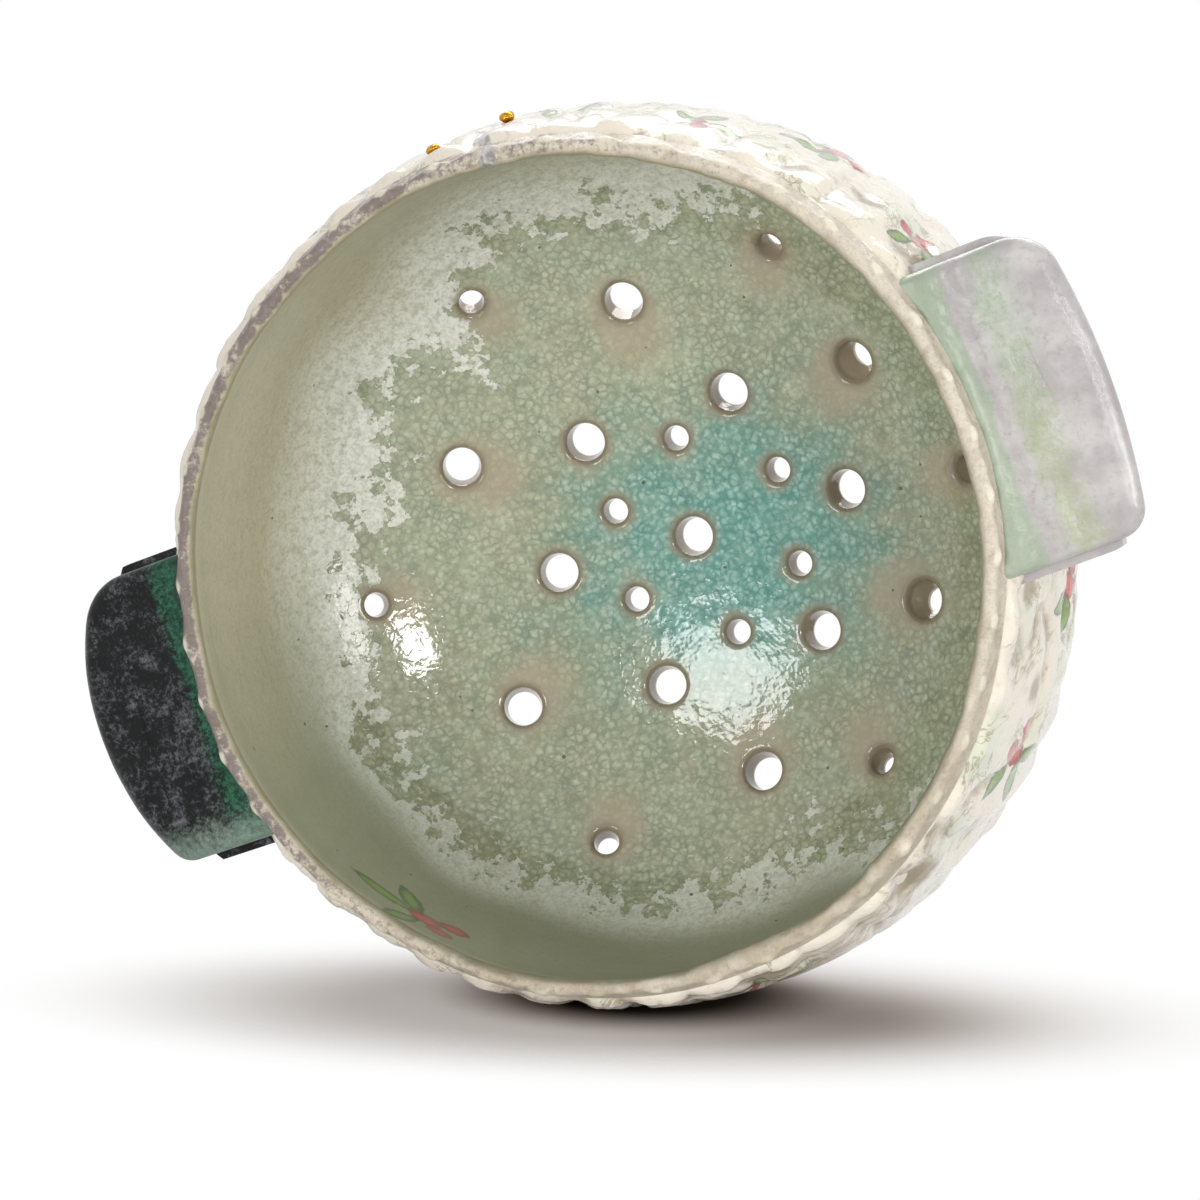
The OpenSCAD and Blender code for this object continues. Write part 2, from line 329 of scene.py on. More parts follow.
def drilled_surface(wall, fillet, start, out_sign):
    """A wall surface with its holes: its points, faces, first points of the holes and top edge.

    The points are laid out on the flat plane of arc length and turn, joined there by triangles,
    and each hole is opened inside its innermost ring. out_sign is the way that a fillet sinks.
    """
    points, plane, first = hole_rings(wall, fillet, start, out_sign)
    rows = int(round(wall.length / GRID))
    for row in range(1, rows + 1):
        s = wall.length * row / rows
        count, shift = MOUTH_COUNT, 0
        if row < rows:
            count = max(LEAST_COUNT, int(round(2 * math.pi * wall.at(s)[0] / GRID)))
            shift = row % 2 / 2
        turn = (np.arange(count) + shift) * 2 * math.pi / count
        ring = wall.place(np.full(count, s), turn)
        keep = np.ones(count, bool)
        for hole in holes:
            off = ring - hole.centre - (hole.exit_shift * hole.away if out_sign < 0 else 0)
            along, across = along_and_across(off, hole.drill)
            keep &= ~((np.abs(along) < CLEAR_DEPTH) & (across < hole.radius + fillet + CLEAR_OF_RINGS))
        plane.extend(on_plane(s, turn)[keep].tolist())
        points.extend(ring[keep].tolist())
    owner = np.full(len(plane), -1)
    for i, (hole, at) in enumerate(zip(holes, first)):
        owner[at:at + hole.count] = i
    result = geometry.delaunay_2d_cdt([Vector(p) for p in plane], [], [], 0, MERGE_GAP)
    origin = [o[0] for o in result[3]]
    faces = []
    for tri in result[2]:
        a, b, c = (origin[v] for v in tri)
        if owner[a] < 0 or not owner[a] == owner[b] == owner[c]:
            faces.append((a, b, c) if out_sign < 0 else (a, c, b))
    return np.array(points), faces, first, list(range(len(points) - MOUTH_COUNT, len(points)))


def build_shell():
    """The drilled shell: inner surface, outer surface, bores between them and the top edge."""
    inner, faces, inner_first, inner_top = drilled_surface(inner_wall, LIP_FILLET, 0.0, 1)
    outer, outer_faces, outer_first, outer_top = drilled_surface(outer_wall, EXIT_FILLET, FLOOR_T, -1)
    shift = len(inner)
    points = np.concatenate([inner, outer])
    faces += [tuple(v + shift for v in face) for face in outer_faces]
    extra = []
    bore = np.zeros(len(points))
    for hole, a, b in zip(holes, inner_first, outer_first):
        count, b = hole.count, b + shift
        bore[a:a + EDGE_RINGS * count] = 1
        bore[b:b + EDGE_RINGS * count] = 1
        rows = [list(range(a, a + count))]
        for k in range(1, BORE_ROWS):
            first = len(points) + len(extra)
            extra.extend(mix(points[a:a + count], points[b:b + count], k / BORE_ROWS).tolist())
            rows.append(list(range(first, first + count)))
        rows.append(list(range(b, b + count)))
        for upper, lower in zip(rows, rows[1:]):
            faces += ring_faces(upper, lower)
    points = np.concatenate([points, np.array(extra)])
    bore = np.concatenate([bore, np.ones(len(extra))])
    side = np.concatenate([np.zeros(shift), np.ones(len(outer)), np.full(len(extra), 0.5)])
    faces += ring_faces(inner_top, [v + shift for v in outer_top])
    return points, faces, bore, side


# Interior glaze zones and a span of painted light, in millimetres and turns in degrees; pairs go from the
# inner holes to the outer
HALO_REACH = (32, 46)
HALO_SPREAD = (2.0, 4.6)
HALO_SHIFT = (0.6, 4.0)
HALO_STRETCH = (1.0, 1.25)
HALO_STRENGTH = (0.85, 1.0)
HALO_FALL = 0.9
EDGE_RING = 0.8
EDGE_FADE = 0.7
EDGE_DEPTH = 3 * FLOOR_T
TEAL_CENTRE = np.array([-7.0, 5.0, 10.0])
TEAL_SPAN = np.array([34.0, 27.0, 30.0])
DROP_UNIT = 80
MILK_UNIT = 20
MILK_TURNS = [0, 12, 24, 38, 52, 66, 86, 96, 112, 124, 150, 180, 212, 236, 252, 266, 280, 290, 300, 314,
              328, 342]
MILK_DROPS = [58, 54, 55, 52, 56, 56, 58, 61, 56, 57, 20, -5, -5, 58, 61, 60, 55, 59, 65, 59, 62, 60]
WHITE_TURNS = [0, 20, 40, 65, 95, 120, 180, 250, 280, 310, 340]
WHITE_SHARES = [0.6, 0.3, 0.15, 0.1, 0.15, 0.2, 0.4, 0.7, 0.9, 1.0, 0.9]
# Painted light: the celadon turns paler toward -Y, rising from y = 25 to y = -60 mm
PAINTED_LIGHT_SPAN = (25, -60)


def halo_field(points):
    """Tan halo round each hole, stronger and wider at the outer rings, drawn toward the centre."""
    field = np.zeros(len(points))
    for hole in holes:
        outer = smooth_step(*HALO_REACH, hole.reach)
        toward = -hole.centre * np.array([1, 1, 0])
        toward = toward / (np.linalg.norm(toward) + 1e-9)
        along, across = along_and_across(points - hole.centre - toward * mix(*HALO_SHIFT, outer), toward)
        reach = np.hypot(along / mix(*HALO_STRETCH, outer), across)
        spread = hole.radius + mix(*HALO_SPREAD, outer)
        field = np.maximum(field, np.exp(-(reach / spread) ** 2 * HALO_FALL) * mix(*HALO_STRENGTH, outer))
    return field


def hole_edge_field(points):
    """1 at the edge of a drain hole, falling to 0 about 2 mm away from it."""
    field = np.zeros(len(points))
    for hole in holes:
        along, across = along_and_across(points - hole.centre, hole.drill)
        near = np.exp(-(np.maximum(across - hole.radius - EDGE_RING, 0) / EDGE_FADE) ** 2)
        field = np.maximum(field, near * (np.abs(along) < EDGE_DEPTH))
    return field


def interior_fields(points):
    """Glaze zones of the inner surface, and a share of painted light that is paler toward -Y, as smooth
    fields on its points.
    """
    turn = np.degrees(turn_of(points))
    drop = RIM_Z - points[:, 2]
    berry, leaf = sprig_fields(turn, drop, INNER_SPRIGS, INNER_TOP_R)
    return {
        "milk": (round_curve(turn, MILK_TURNS, MILK_DROPS) - drop) / MILK_UNIT,
        "teal": np.exp(-(((points - TEAL_CENTRE) / TEAL_SPAN) ** 2).sum(1)),
        "halo": halo_field(points),
        "edge": hole_edge_field(points),
        "drop": drop / DROP_UNIT,
        "white": round_curve(turn, WHITE_TURNS, WHITE_SHARES),
        # lift: share of painted light, paler toward -Y
        "lift": smooth_step(*PAINTED_LIGHT_SPAN, points[:, 1]),
        "berry": berry,
        "leaf": leaf,
    }


# Waves of the hand-thrown mouth: height in millimetres, count round the mouth, phase
RIM_WAVES = [(0.35, 2, 0.8), (0.25, 3, 2.1), (0.16, 7, 0.0), (0.1, 13, 1.0)]
WOBBLE_LOW_Z = 45


def rim_wobble(points):
    """Moves points in and out round the mouth, as a hand-thrown rim does."""
    turn = turn_of(points)
    push = smooth_step(WOBBLE_LOW_Z, RIM_Z, points[:, 2]) * sum(
        height * np.sin(count * turn + phase) for height, count, phase in RIM_WAVES)
    out = points.copy()
    out[:, :2] *= (1 + push / np.maximum(reach_of(points), 1))[:, None]
    return out


def make_shell():
    """The glazed shell with its drain holes."""
    points, faces, bore, side = build_shell()
    fields = {**interior_fields(points), "bore": bore, "side": side}
    return add_object("bowl_body", rim_wobble(points), faces, fields)


# Painted sprigs of berries and leaves: turn in degrees, drop below the mouth, tilt in degrees, size
OUTER_SPRIGS = [(258, 25, 20, 1.0), (237, 15, -60, 0.9), (222, 33, 150, 1.1), (205, 20, 60, 0.9),
                (158, 34, 80, 1.0), (137, 24, -20, 1.1), (112, 40, 30, 0.9), (92, 19, 120, 0.9),
                (64, 31, -40, 1.1), (38, 20, 70, 0.9), (12, 44, 10, 1.0), (345, 30, 140, 1.0),
                (318, 38, -30, 1.1), (296, 18, 60, 0.9), (280, 42, 100, 1.0)]
INNER_SPRIGS = [(43, 17, 15, 1.45), (104, 14, -85, 0.8)]
# Berries: place and radius; leaves: place, lean in degrees, half length and half width
BERRIES = [(0.0, 0.0, 2.4), (3.9, 1.6, 2.1), (2.2, -3.4, 1.9)]
LEAVES = [(-6.0, 1.4, 170, 5.2, 1.9), (-2.4, 5.2, 110, 4.6, 1.7), (-3.2, -5.4, 235, 4.4, 1.6)]
STEM_W = 0.45
NOT_PAINTED = -3.0


def sprig_fields(turn, drop, sprigs, radius):
    """How deep in millimetres each point lies inside a painted berry and inside a painted leaf."""
    berry, leaf = np.full((2, len(turn)), NOT_PAINTED)
    for at, low, tilt, size in sprigs:
        x = np.radians(angle_gap(turn, at)) * radius
        y = drop - low
        c, s = cos_sin(math.radians(tilt))
        u, v = (x * c + y * s) / size, (-x * s + y * c) / size
        for bx, by, r in BERRIES:
            berry = np.maximum(berry, r - np.hypot(u - bx, v - by))
        for lx, ly, lean, long, wide in LEAVES:
            a, b = cos_sin(math.radians(lean))
            along, across = (u - lx) * a + (v - ly) * b, -(u - lx) * b + (v - ly) * a
            leaf = np.maximum(leaf, wide * (1 - (along / long) ** 2) - np.abs(across))
            share = np.clip((u * lx + v * ly) / (lx ** 2 + ly ** 2), 0, 1)
            leaf = np.maximum(leaf, STEM_W - np.hypot(u - share * lx, v - share * ly))
    return berry, leaf


# A run of grey glaze over the lip
RUN_TURN = 262
RUN_SLANT = 0.25
RUN_WIDTH = 2.1
RUN_TAPER = 0.4
RUN_DROP = 17
RUN_END = 5


def run_field(turn, drop):
    """1 along the run of grey glaze that starts on the lip."""
    across = np.radians(angle_gap(turn, RUN_TURN + RUN_SLANT * drop)) * RIM_R
    width = RUN_WIDTH * (1 - RUN_TAPER * np.clip(drop / RUN_DROP, 0, 1))
    return np.exp(-(across / width) ** 2) * smooth_step(RUN_DROP, RUN_DROP - RUN_END, drop)


# The side that the photo's bowl lies on, where the relief is stronger
# On this side the glazes turn darker and olive, partly olive glaze and partly painted shade of the
# underside
LOW_TURN = 95
LOW_FADE = (70, 30)

# The lip, with beads where the rib heads meet it
LIP_COUNT = 720
LIP_SECTION = 28
CREST_H = LIP_W * 0.62
CREST_POWER_R = 0.9
CREST_POWER_Z = 0.8
SAG_MAX = 1.5
RIB_COUNT = 44
RIB_PITCH = 360 / RIB_COUNT
BEAD_H = 0.55
BEAD_WIDTH = 1.7
BEAD_START = (0.45, 0.72)
BEAD_END = (1.0, 0.85)
STAIN_TURNS = [0, 40, 70, 110, 150, 180, 215, 240, 262, 285, 310, 340]
STAIN_SHARES = [0.82, 0.5, 0.3, 0.15, 0.02, 0.02, 0.15, 0.35, 0.55, 0.72, 0.76, 0.8]


def bead_field(degrees, level):
    """1 on the beads that the rib heads raise along the lip's outer side."""
    phase = (degrees / RIB_PITCH + 0.5) % 1 - 0.5
    along = np.abs(phase) * RIB_PITCH * math.pi / 180 * RIM_R
    outer = smooth_step(*BEAD_START, level) * smooth_step(*BEAD_END, level)
    return np.exp(-(along / BEAD_WIDTH) ** 2) * outer


def lip_section():
    """Radius, height and side (-1 inner, 1 outer) along the lip's section, from inside to outside."""
    t = np.linspace(0, math.pi, LIP_SECTION - 2)
    middle = RIM_R - LIP_W / 2
    arch_r = middle - LIP_W / 2 * np.sign(np.cos(t)) * np.abs(np.cos(t)) ** CREST_POWER_R
    arch_z = RIM_Z - CREST_H + CREST_H * np.sin(t) ** CREST_POWER_Z
    arch_z[0] = arch_z[-1] = RIM_Z - CREST_H
    base_z = RIM_Z - LIP_H
    in_r, out_r = (wall.at(wall.length)[0] for wall in (inner_wall, outer_wall))
    r = np.concatenate([[in_r], arch_r, [out_r]])
    z = np.concatenate([[base_z], arch_z, [base_z]])
    return r, z, np.clip((r - middle) / LIP_W * 2, -1, 1)


def make_lip():
    """The coil round the mouth: a closed ring with a soft crest that rises and falls a little."""
    turn = np.arange(LIP_COUNT) * 2 * math.pi / LIP_COUNT
    degrees = np.tile(np.degrees(turn), LIP_SECTION)
    r, z, side = lip_section()
    points = np.stack([np.outer(r, np.cos(turn)).ravel(), np.outer(r, np.sin(turn)).ravel(),
                       np.repeat(z, LIP_COUNT)], 1)
    high = smooth_step(RIM_Z - LIP_H, RIM_Z, points[:, 2])
    low_side = near_turn(degrees, LOW_TURN, *LOW_FADE)
    sag = (0.4 + 0.3 * lumps(points, 26, 3) + (0.3 + 0.3 * low_side) * lumps(points, 8, 4)
           + 0.12 * lumps(points, 2.6, 5))
    points[:, 2] -= high * np.clip(sag, 0, SAG_MAX)
    swell = (0.22 + 0.3 * low_side) * lumps(points, 9, 6) + 0.2 * lumps(points, 3.2, 7)
    side = np.repeat(side, LIP_COUNT) * high
    points[:, :2] *= (1 + swell * side / reach_of(points))[:, None]
    level = np.repeat(np.linspace(0, 1, LIP_SECTION), LIP_COUNT)
    bead = bead_field(degrees, level)
    points[:, :2] *= (1 + BEAD_H * bead / RIM_R)[:, None]
    faces = grid_faces(LIP_SECTION, LIP_COUNT, flip=True)
    last = (LIP_SECTION - 1) * LIP_COUNT
    for j in range(LIP_COUNT):
        k = (j + 1) % LIP_COUNT
        faces.append((j, last + j, last + k, k))
    fields = {"across": level, "stain": round_curve(degrees, STAIN_TURNS, STAIN_SHARES), "bead": bead,
              "low": low_side, "run": run_field(degrees, np.zeros(len(degrees)))}
    return add_object("lip", rim_wobble(points), faces, fields)


# The relief on the outer wall, in millimetres; its v runs from 0 at the lip to 1 at its lower end
RELIEF_STEP = 0.95
RELIEF_LOW_Z = 24.0
RELIEF_MAX = 1.95
RELIEF_SINK = 0.3
RELIEF_BACK = -0.6
RELIEF_LOW_FADE = 7
RELIEF_TOP_FADE = (-0.004, 0.035)
RELIEF_TOP = 1.25
RELIEF_BOTTOM = 0.05
RIB_SWING = 2.4
RIB_POWER = 0.7
CALM_TURN, CALM_FADE = 165, (75, 35)
FOLD_TURN, FOLD_FADE = 214, (38, 16)
LOW_RELIEF_FADE = (60, 30)
AT_LIP = (0.14, 0.04)
WARP_SIZE, WARP_SEEDS, WARP_PUSH = 26, (11, 12, 13), 8
LOBE_SIZE, LOBE_SEED, LOBE_GAIN = 23, 14, 2.6
CARVE_SIZE, CARVE_SEED, CARVE_GAIN, CARVE_WARP = 9, 15, 3.0, 1.4
GRAIN_SIZE, GRAIN_SEED, GRAIN_H = 3.0, 16, 0.05
STRENGTH_SIZE, STRENGTH_SEED, STRENGTH_LIFT = 34, 17, 0.35

# Hollows, sunk and darkened olive brown, partly pooled glaze and partly painted shade: turn in degrees,
# drop below the mouth, size
POOLS_AND_SHADE = [(204, 12, 5.0), (197, 20, 4.0), (222, 11, 3.6), (213, 18, 3.4), (232, 15, 3.4),
         (159, 13, 3.5), (146, 22, 3.0), (118, 12, 5.0), (96, 9, 3.0), (306, 18, 4.0),
         (335, 26, 5.0), (20, 16, 4.0), (60, 30, 5.0)]
POOL_SHARE = 1.1
POOL_DEPTH = 0.35

# Bands of relief: piece, the CAD node that it replaces, its middle in degrees and how many ribs it has
RELIEF_BANDS = [("relief_front", "ribs_front", 270, 15), ("relief_back", "ribs_back", 90, 15),
                ("relief_under_pale_handle", "ribs_under_pale_handle", 180, 7),
                ("relief_under_dark_handle", "ribs_under_dark_handle", 0, 7)]


def pillows(points, size, seed, gain):
    """Rounded swellings with creases between them, from 0 to 1."""
    up = np.minimum(np.abs(lumps(points, size, seed)) * gain, 1.0)
    return 1 - (1 - up) ** 2


def relief_height(points, turn, v):
    """Height of the relief above the wall as a share, and how deep points lie in its recesses."""
    phase = (turn + RIB_SWING * np.sin(2 * math.pi * v)) / RIB_PITCH
    rib = (0.5 + 0.5 * np.cos(2 * math.pi * phase)) ** RIB_POWER
    warp = np.stack([lumps(points, WARP_SIZE, seed) for seed in WARP_SEEDS], 1) * WARP_PUSH
    lobe = pillows(points + warp, LOBE_SIZE, LOBE_SEED, LOBE_GAIN)
    carve = pillows(points + warp * CARVE_WARP, CARVE_SIZE, CARVE_SEED, CARVE_GAIN)
    calm = near_turn(turn, CALM_TURN, *CALM_FADE)
    low_side = near_turn(turn, LOW_TURN, *LOW_RELIEF_FADE)
    folds = near_turn(turn, FOLD_TURN, *FOLD_FADE)
    at_lip = smooth_step(*AT_LIP, v)
    wander = np.clip(lumps(points, STRENGTH_SIZE, STRENGTH_SEED) + STRENGTH_LIFT, 0, 1)
    strong = 0.22 + 0.42 * wander - 0.34 * calm + 0.4 * low_side
    strong += 0.5 * folds
    strong = mix(np.clip(strong, 0, 1), 0.5, at_lip)
    height = 0.14 + strong * rib + 0.55 * lobe * (1 - 0.4 * at_lip) + (0.26 - 0.16 * calm) * carve
    height += GRAIN_H * lumps(points, GRAIN_SIZE, GRAIN_SEED)
    # recess: share of olive brown in the hollows, partly pooled glaze and partly painted shade
    recess = np.clip(1.2 - (strong * rib + 0.62 * lobe + 0.4 * carve + 0.2 * calm), 0, 1)
    drop = RIM_Z - points[:, 2]
    for at, low, size in POOLS_AND_SHADE:
        away = np.hypot(np.radians(angle_gap(turn, at)) * RIM_R, drop - low) / size
        recess = np.maximum(recess, POOL_SHARE * np.exp(-away ** 2))
        height = height - POOL_DEPTH * np.exp(-away ** 2)
    return np.clip(height, RELIEF_BOTTOM, RELIEF_TOP) / RELIEF_TOP, recess


def relief_patch(name, node, middle, ribs):
    """A band of relief, some ribs wide, round a middle turn; a face inside the wall closes it."""
    half = RIB_PITCH * ribs / 2
    low_turn, high_turn = middle - half, middle + half
    top = outer_wall.length
    low = outer_wall.arc_of_height(RELIEF_LOW_Z)
    rows = int((top - low) / RELIEF_STEP) + 1
    columns = int(math.radians(high_turn - low_turn) * BELLY_R / RELIEF_STEP) + 1
    s, degrees = np.meshgrid(np.linspace(top, low, rows), np.linspace(low_turn, high_turn, columns),
                             indexing="ij")
    s, degrees = s.ravel(), degrees.ravel()
    turn = np.radians(degrees)
    v = (top - s) / (top - low)
    base = outer_wall.place(s, turn)
    height, recess = relief_height(base, degrees % 360, v)
    ends = smooth_step(1.0, 1 - RELIEF_LOW_FADE / (top - low), v) * smooth_step(*RELIEF_TOP_FADE, v)
    front = outer_wall.place(s, turn, -RELIEF_SINK + (RELIEF_MAX + RELIEF_SINK) * height * ends)
    back = outer_wall.place(s, turn, RELIEF_BACK)
    n = rows * columns
    faces = grid_faces(rows, columns, 0, closed=False, flip=True)
    faces += grid_faces(rows, columns, n, closed=False)
    edge = ([i for i in range(columns)]
            + [i * columns + columns - 1 for i in range(1, rows)]
            + [(rows - 1) * columns + i for i in range(columns - 2, -1, -1)]
            + [i * columns for i in range(rows - 2, 0, -1)])
    faces += ring_faces(edge, [v + n for v in edge])
    drop = RIM_Z - base[:, 2]
    berry, leaf = sprig_fields(degrees, drop, OUTER_SPRIGS, BELLY_R)
    fields = {"recess": recess, "low": near_turn(degrees, LOW_TURN, *LOW_FADE), "berry": berry,
              "leaf": leaf, "run": run_field(degrees, drop)}
    fields = {key: np.tile(values, 2) for key, values in fields.items()}
    obj = add_object(name, rim_wobble(np.concatenate([front, back])), faces, fields)
    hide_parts(node)
    return obj


# Handles, in millimetres and degrees
HANDLE_ROOT_R = 74.2
HANDLE_T = 5.5
HANDLE_DROP = 3.0
DROOP_R = 90.0
SIDE_STEPS = 16
BOW_STEPS = 30
ROOT_STEPS = 24
EDGE_STEPS = 13
CORE_SHARES = [0.12, 0.24, 0.38, 0.52, 0.66, 0.8, 0.9, 0.97]
CORE_MARGIN = 12
CORE_SHIFT = 2
CORE_BOW_R = 80
# Ripples of the slabs: height, size, and how far up their noise is taken; steps of it per level
RIPPLES = [(0.35, 13, 40), (0.14, 4.5, 0)]
LEVEL_SPREAD = 4


def spread(a, b, count):
    """Values from a to b in even steps."""
    return [mix(a, b, k / count) for k in range(count + 1)]


def arc(x, y, radius, turns):
    """Points of an arc about a centre at x and y."""
    return [(x + radius * math.cos(t), y + radius * math.sin(t)) for t in turns]


class Tab:
    """A handle's slab as seen from above, along +X, in millimetres."""

    def __init__(self, reach, width, corner_low, corner_high, bow_r, turn):
        self.out_x = RIM_R + reach
        self.half = width / 2
        self.corner = {-1: corner_low, 1: corner_high}
        self.bow_r = bow_r
        self.turn = math.radians(turn)

    def outline(self):
        """Closed outline: a side, the bowed outer edge with its round corners, a side, the wall."""
        wall_turn = math.asin(self.half / HANDLE_ROOT_R)
        in_x = HANDLE_ROOT_R * math.cos(wall_turn)
        bow_x = self.out_x - self.bow_r
        sides, ends = {}, {}
        for sign, c in self.corner.items():
            y = self.half - c
            x = bow_x + math.sqrt((self.bow_r - c) ** 2 - y ** 2)
            end = math.atan2(y, x - bow_x)
            side = [(at, self.half) for at in spread(in_x, x, SIDE_STEPS)[:-1]]
            side += arc(x, y, c, spread(math.pi / 2, end, SIDE_STEPS))
            sides[sign] = [(px, sign * py) for px, py in side]
            ends[sign] = sign * end
        bow = arc(bow_x, 0, self.bow_r, spread(ends[-1], ends[1], BOW_STEPS)[1:-1])
        root = arc(0, 0, HANDLE_ROOT_R, spread(wall_turn, -wall_turn, ROOT_STEPS)[1:-1])
        return np.array(sides[-1] + bow + sides[1][::-1] + root)

    def slab_rings(self):
        """Rings over the slab from its lower face round the edge to its upper face: x, y, level.

        The level runs from -1 below to 1 above. Each ring lies between the outline and a core.
        """
        outline = self.outline()
        core_y = np.clip(outline[:, 1], -self.half + CORE_MARGIN, self.half - CORE_MARGIN)
        core_x = (RIM_R + self.out_x) / 2 + CORE_SHIFT - core_y ** 2 / (2 * CORE_BOW_R)
        core = np.stack([core_x, core_y], 1)
        span = np.linalg.norm(outline - core, axis=1)
        edge_r = HANDLE_T / 2
        shares = [(edge_r / span + (1 - edge_r / span) * share) for share in CORE_SHARES]
        turns = np.linspace(-math.pi / 2, math.pi / 2, EDGE_STEPS)
        rows = [(k, -1.0) for k in shares[::-1]]
        rows += [(edge_r * (1 - math.cos(t)) / span, math.sin(t)) for t in turns]
        rows += [(k, 1.0) for k in shares]
        rings = [np.insert(outline + (core - outline) * k[:, None], 2, level, axis=1) for k, level in rows]
        return rings, len(span)


def make_handle(name, node, tab, shape, seed):
    """A slab with rounded edges and hand-pressed dips; shape(x) lifts its top, in millimetres."""
    rings, n = tab.slab_rings()
    x, y, level = np.concatenate(rings).T
    reach = np.maximum(x - RIM_R, 0)
    droop = DROOP_R - np.sqrt(DROOP_R ** 2 - reach ** 2)
    z_mid = RIM_Z - HANDLE_DROP - HANDLE_T / 2 - droop
    ripple = sum(height * lumps(np.stack([x, y, level * LEVEL_SPREAD + away], 1), size, seed + i)
                 for i, (height, size, away) in enumerate(RIPPLES))
    top = np.clip(level, 0, 1)
    z = z_mid + level * HANDLE_T / 2 + ripple * np.abs(level) + top * shape(x - RIM_R)
    c, s = cos_sin(tab.turn)
    placed = np.stack([x * c - y * s, x * s + y * c, z], 1)
    faces = grid_faces(len(rings), n)
    faces.append(tuple(range(n))[::-1])
    faces.append(tuple(range((len(rings) - 1) * n, len(rings) * n)))
    fields = {"reach": (x - RIM_R) / (tab.out_x - RIM_R), "along": y / tab.half}
    obj = add_object(name, placed, faces, fields)
    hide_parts(node)
    return obj


def ridge(x, height, at, width):
    """A soft ridge or, with a negative height, a valley across a slab."""
    return height * np.exp(-((x - at) / width) ** 2)


def dark_shape(x):
    """Lift of the dark slab's top: one wide dip."""
    return -0.5 + ridge(x, -0.5, 12, 7.0)


def pale_shape(x):
    """Lift of the pale slab's top: a valley at the wall, a ridge and a wide dip."""
    return ridge(x, -1.1, 3.2, 2.0) + ridge(x, 0.25, 7, 1.8) + ridge(x, -0.5, 14, 5) - 0.35


# Gilded nubs: lumpy dabs of gold lustre, in millimetres
NUB_R = 1.5
NUB_FLAT = 0.3
NUB_SEAT = 0.8
NUB_LUMPS = 0.45
NUB_LUMP_SCALE = 1.3
NUB_SEED_STEP = 3.1
NUB_RINGS = 12
NUB_SIDES = 18
NUB_GAP = 5


def nub_groups():
    """The CAD nubs' points, one list for each nub."""
    groups = []
    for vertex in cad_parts["gilded_nubs"].data.vertices:
        p = np.array(vertex.co) / MM
        for group in groups:
            if np.linalg.norm(np.mean(group, axis=0) - p) < NUB_GAP:
                group.append(p)
                break
        else:
            groups.append([p])
    return [np.array(group) for group in groups]


def make_nubs():
    """Lumpy dabs where the CAD nubs are."""
    points, faces = [], []
    for i, group in enumerate(nub_groups()):
        centre = (group.min(0) + group.max(0)) / 2
        out = centre * np.array([1, 1, 0])
        out /= np.linalg.norm(out)
        faces += grid_faces(NUB_RINGS + 1, NUB_SIDES, len(points), flip=True)
        for k in range(NUB_RINGS + 1):
            t = math.pi * k / NUB_RINGS
            for j in range(NUB_SIDES):
                a = 2 * math.pi * j / NUB_SIDES
                d = np.array([math.sin(t) * math.cos(a), math.sin(t) * math.sin(a), math.cos(t)])
                lump = noise.noise(Vector(d * NUB_LUMP_SCALE) + Vector((i * NUB_SEED_STEP, 0, 0)))
                reach = d * (NUB_R + NUB_LUMPS * lump)
                reach -= out * (reach @ out) * NUB_FLAT
                points.append(centre + reach - out * NUB_SEAT)
    obj = add_object("gold_beads", points, faces)
    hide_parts("gilded_nubs")
    return obj


# Materials: sizes of their textures are in millimetres
BEND_SIZE = 1.6
BEND_PUSH = 1.2
LINE_STRETCH = (0.06, 0.06, 1.0)
NOISE_ROUGH = 0.55


def features(place, size):
    """Inputs of a texture whose features are size millimetres wide."""
    return {"Vector": place, "Scale": 1 / (size * MM)}


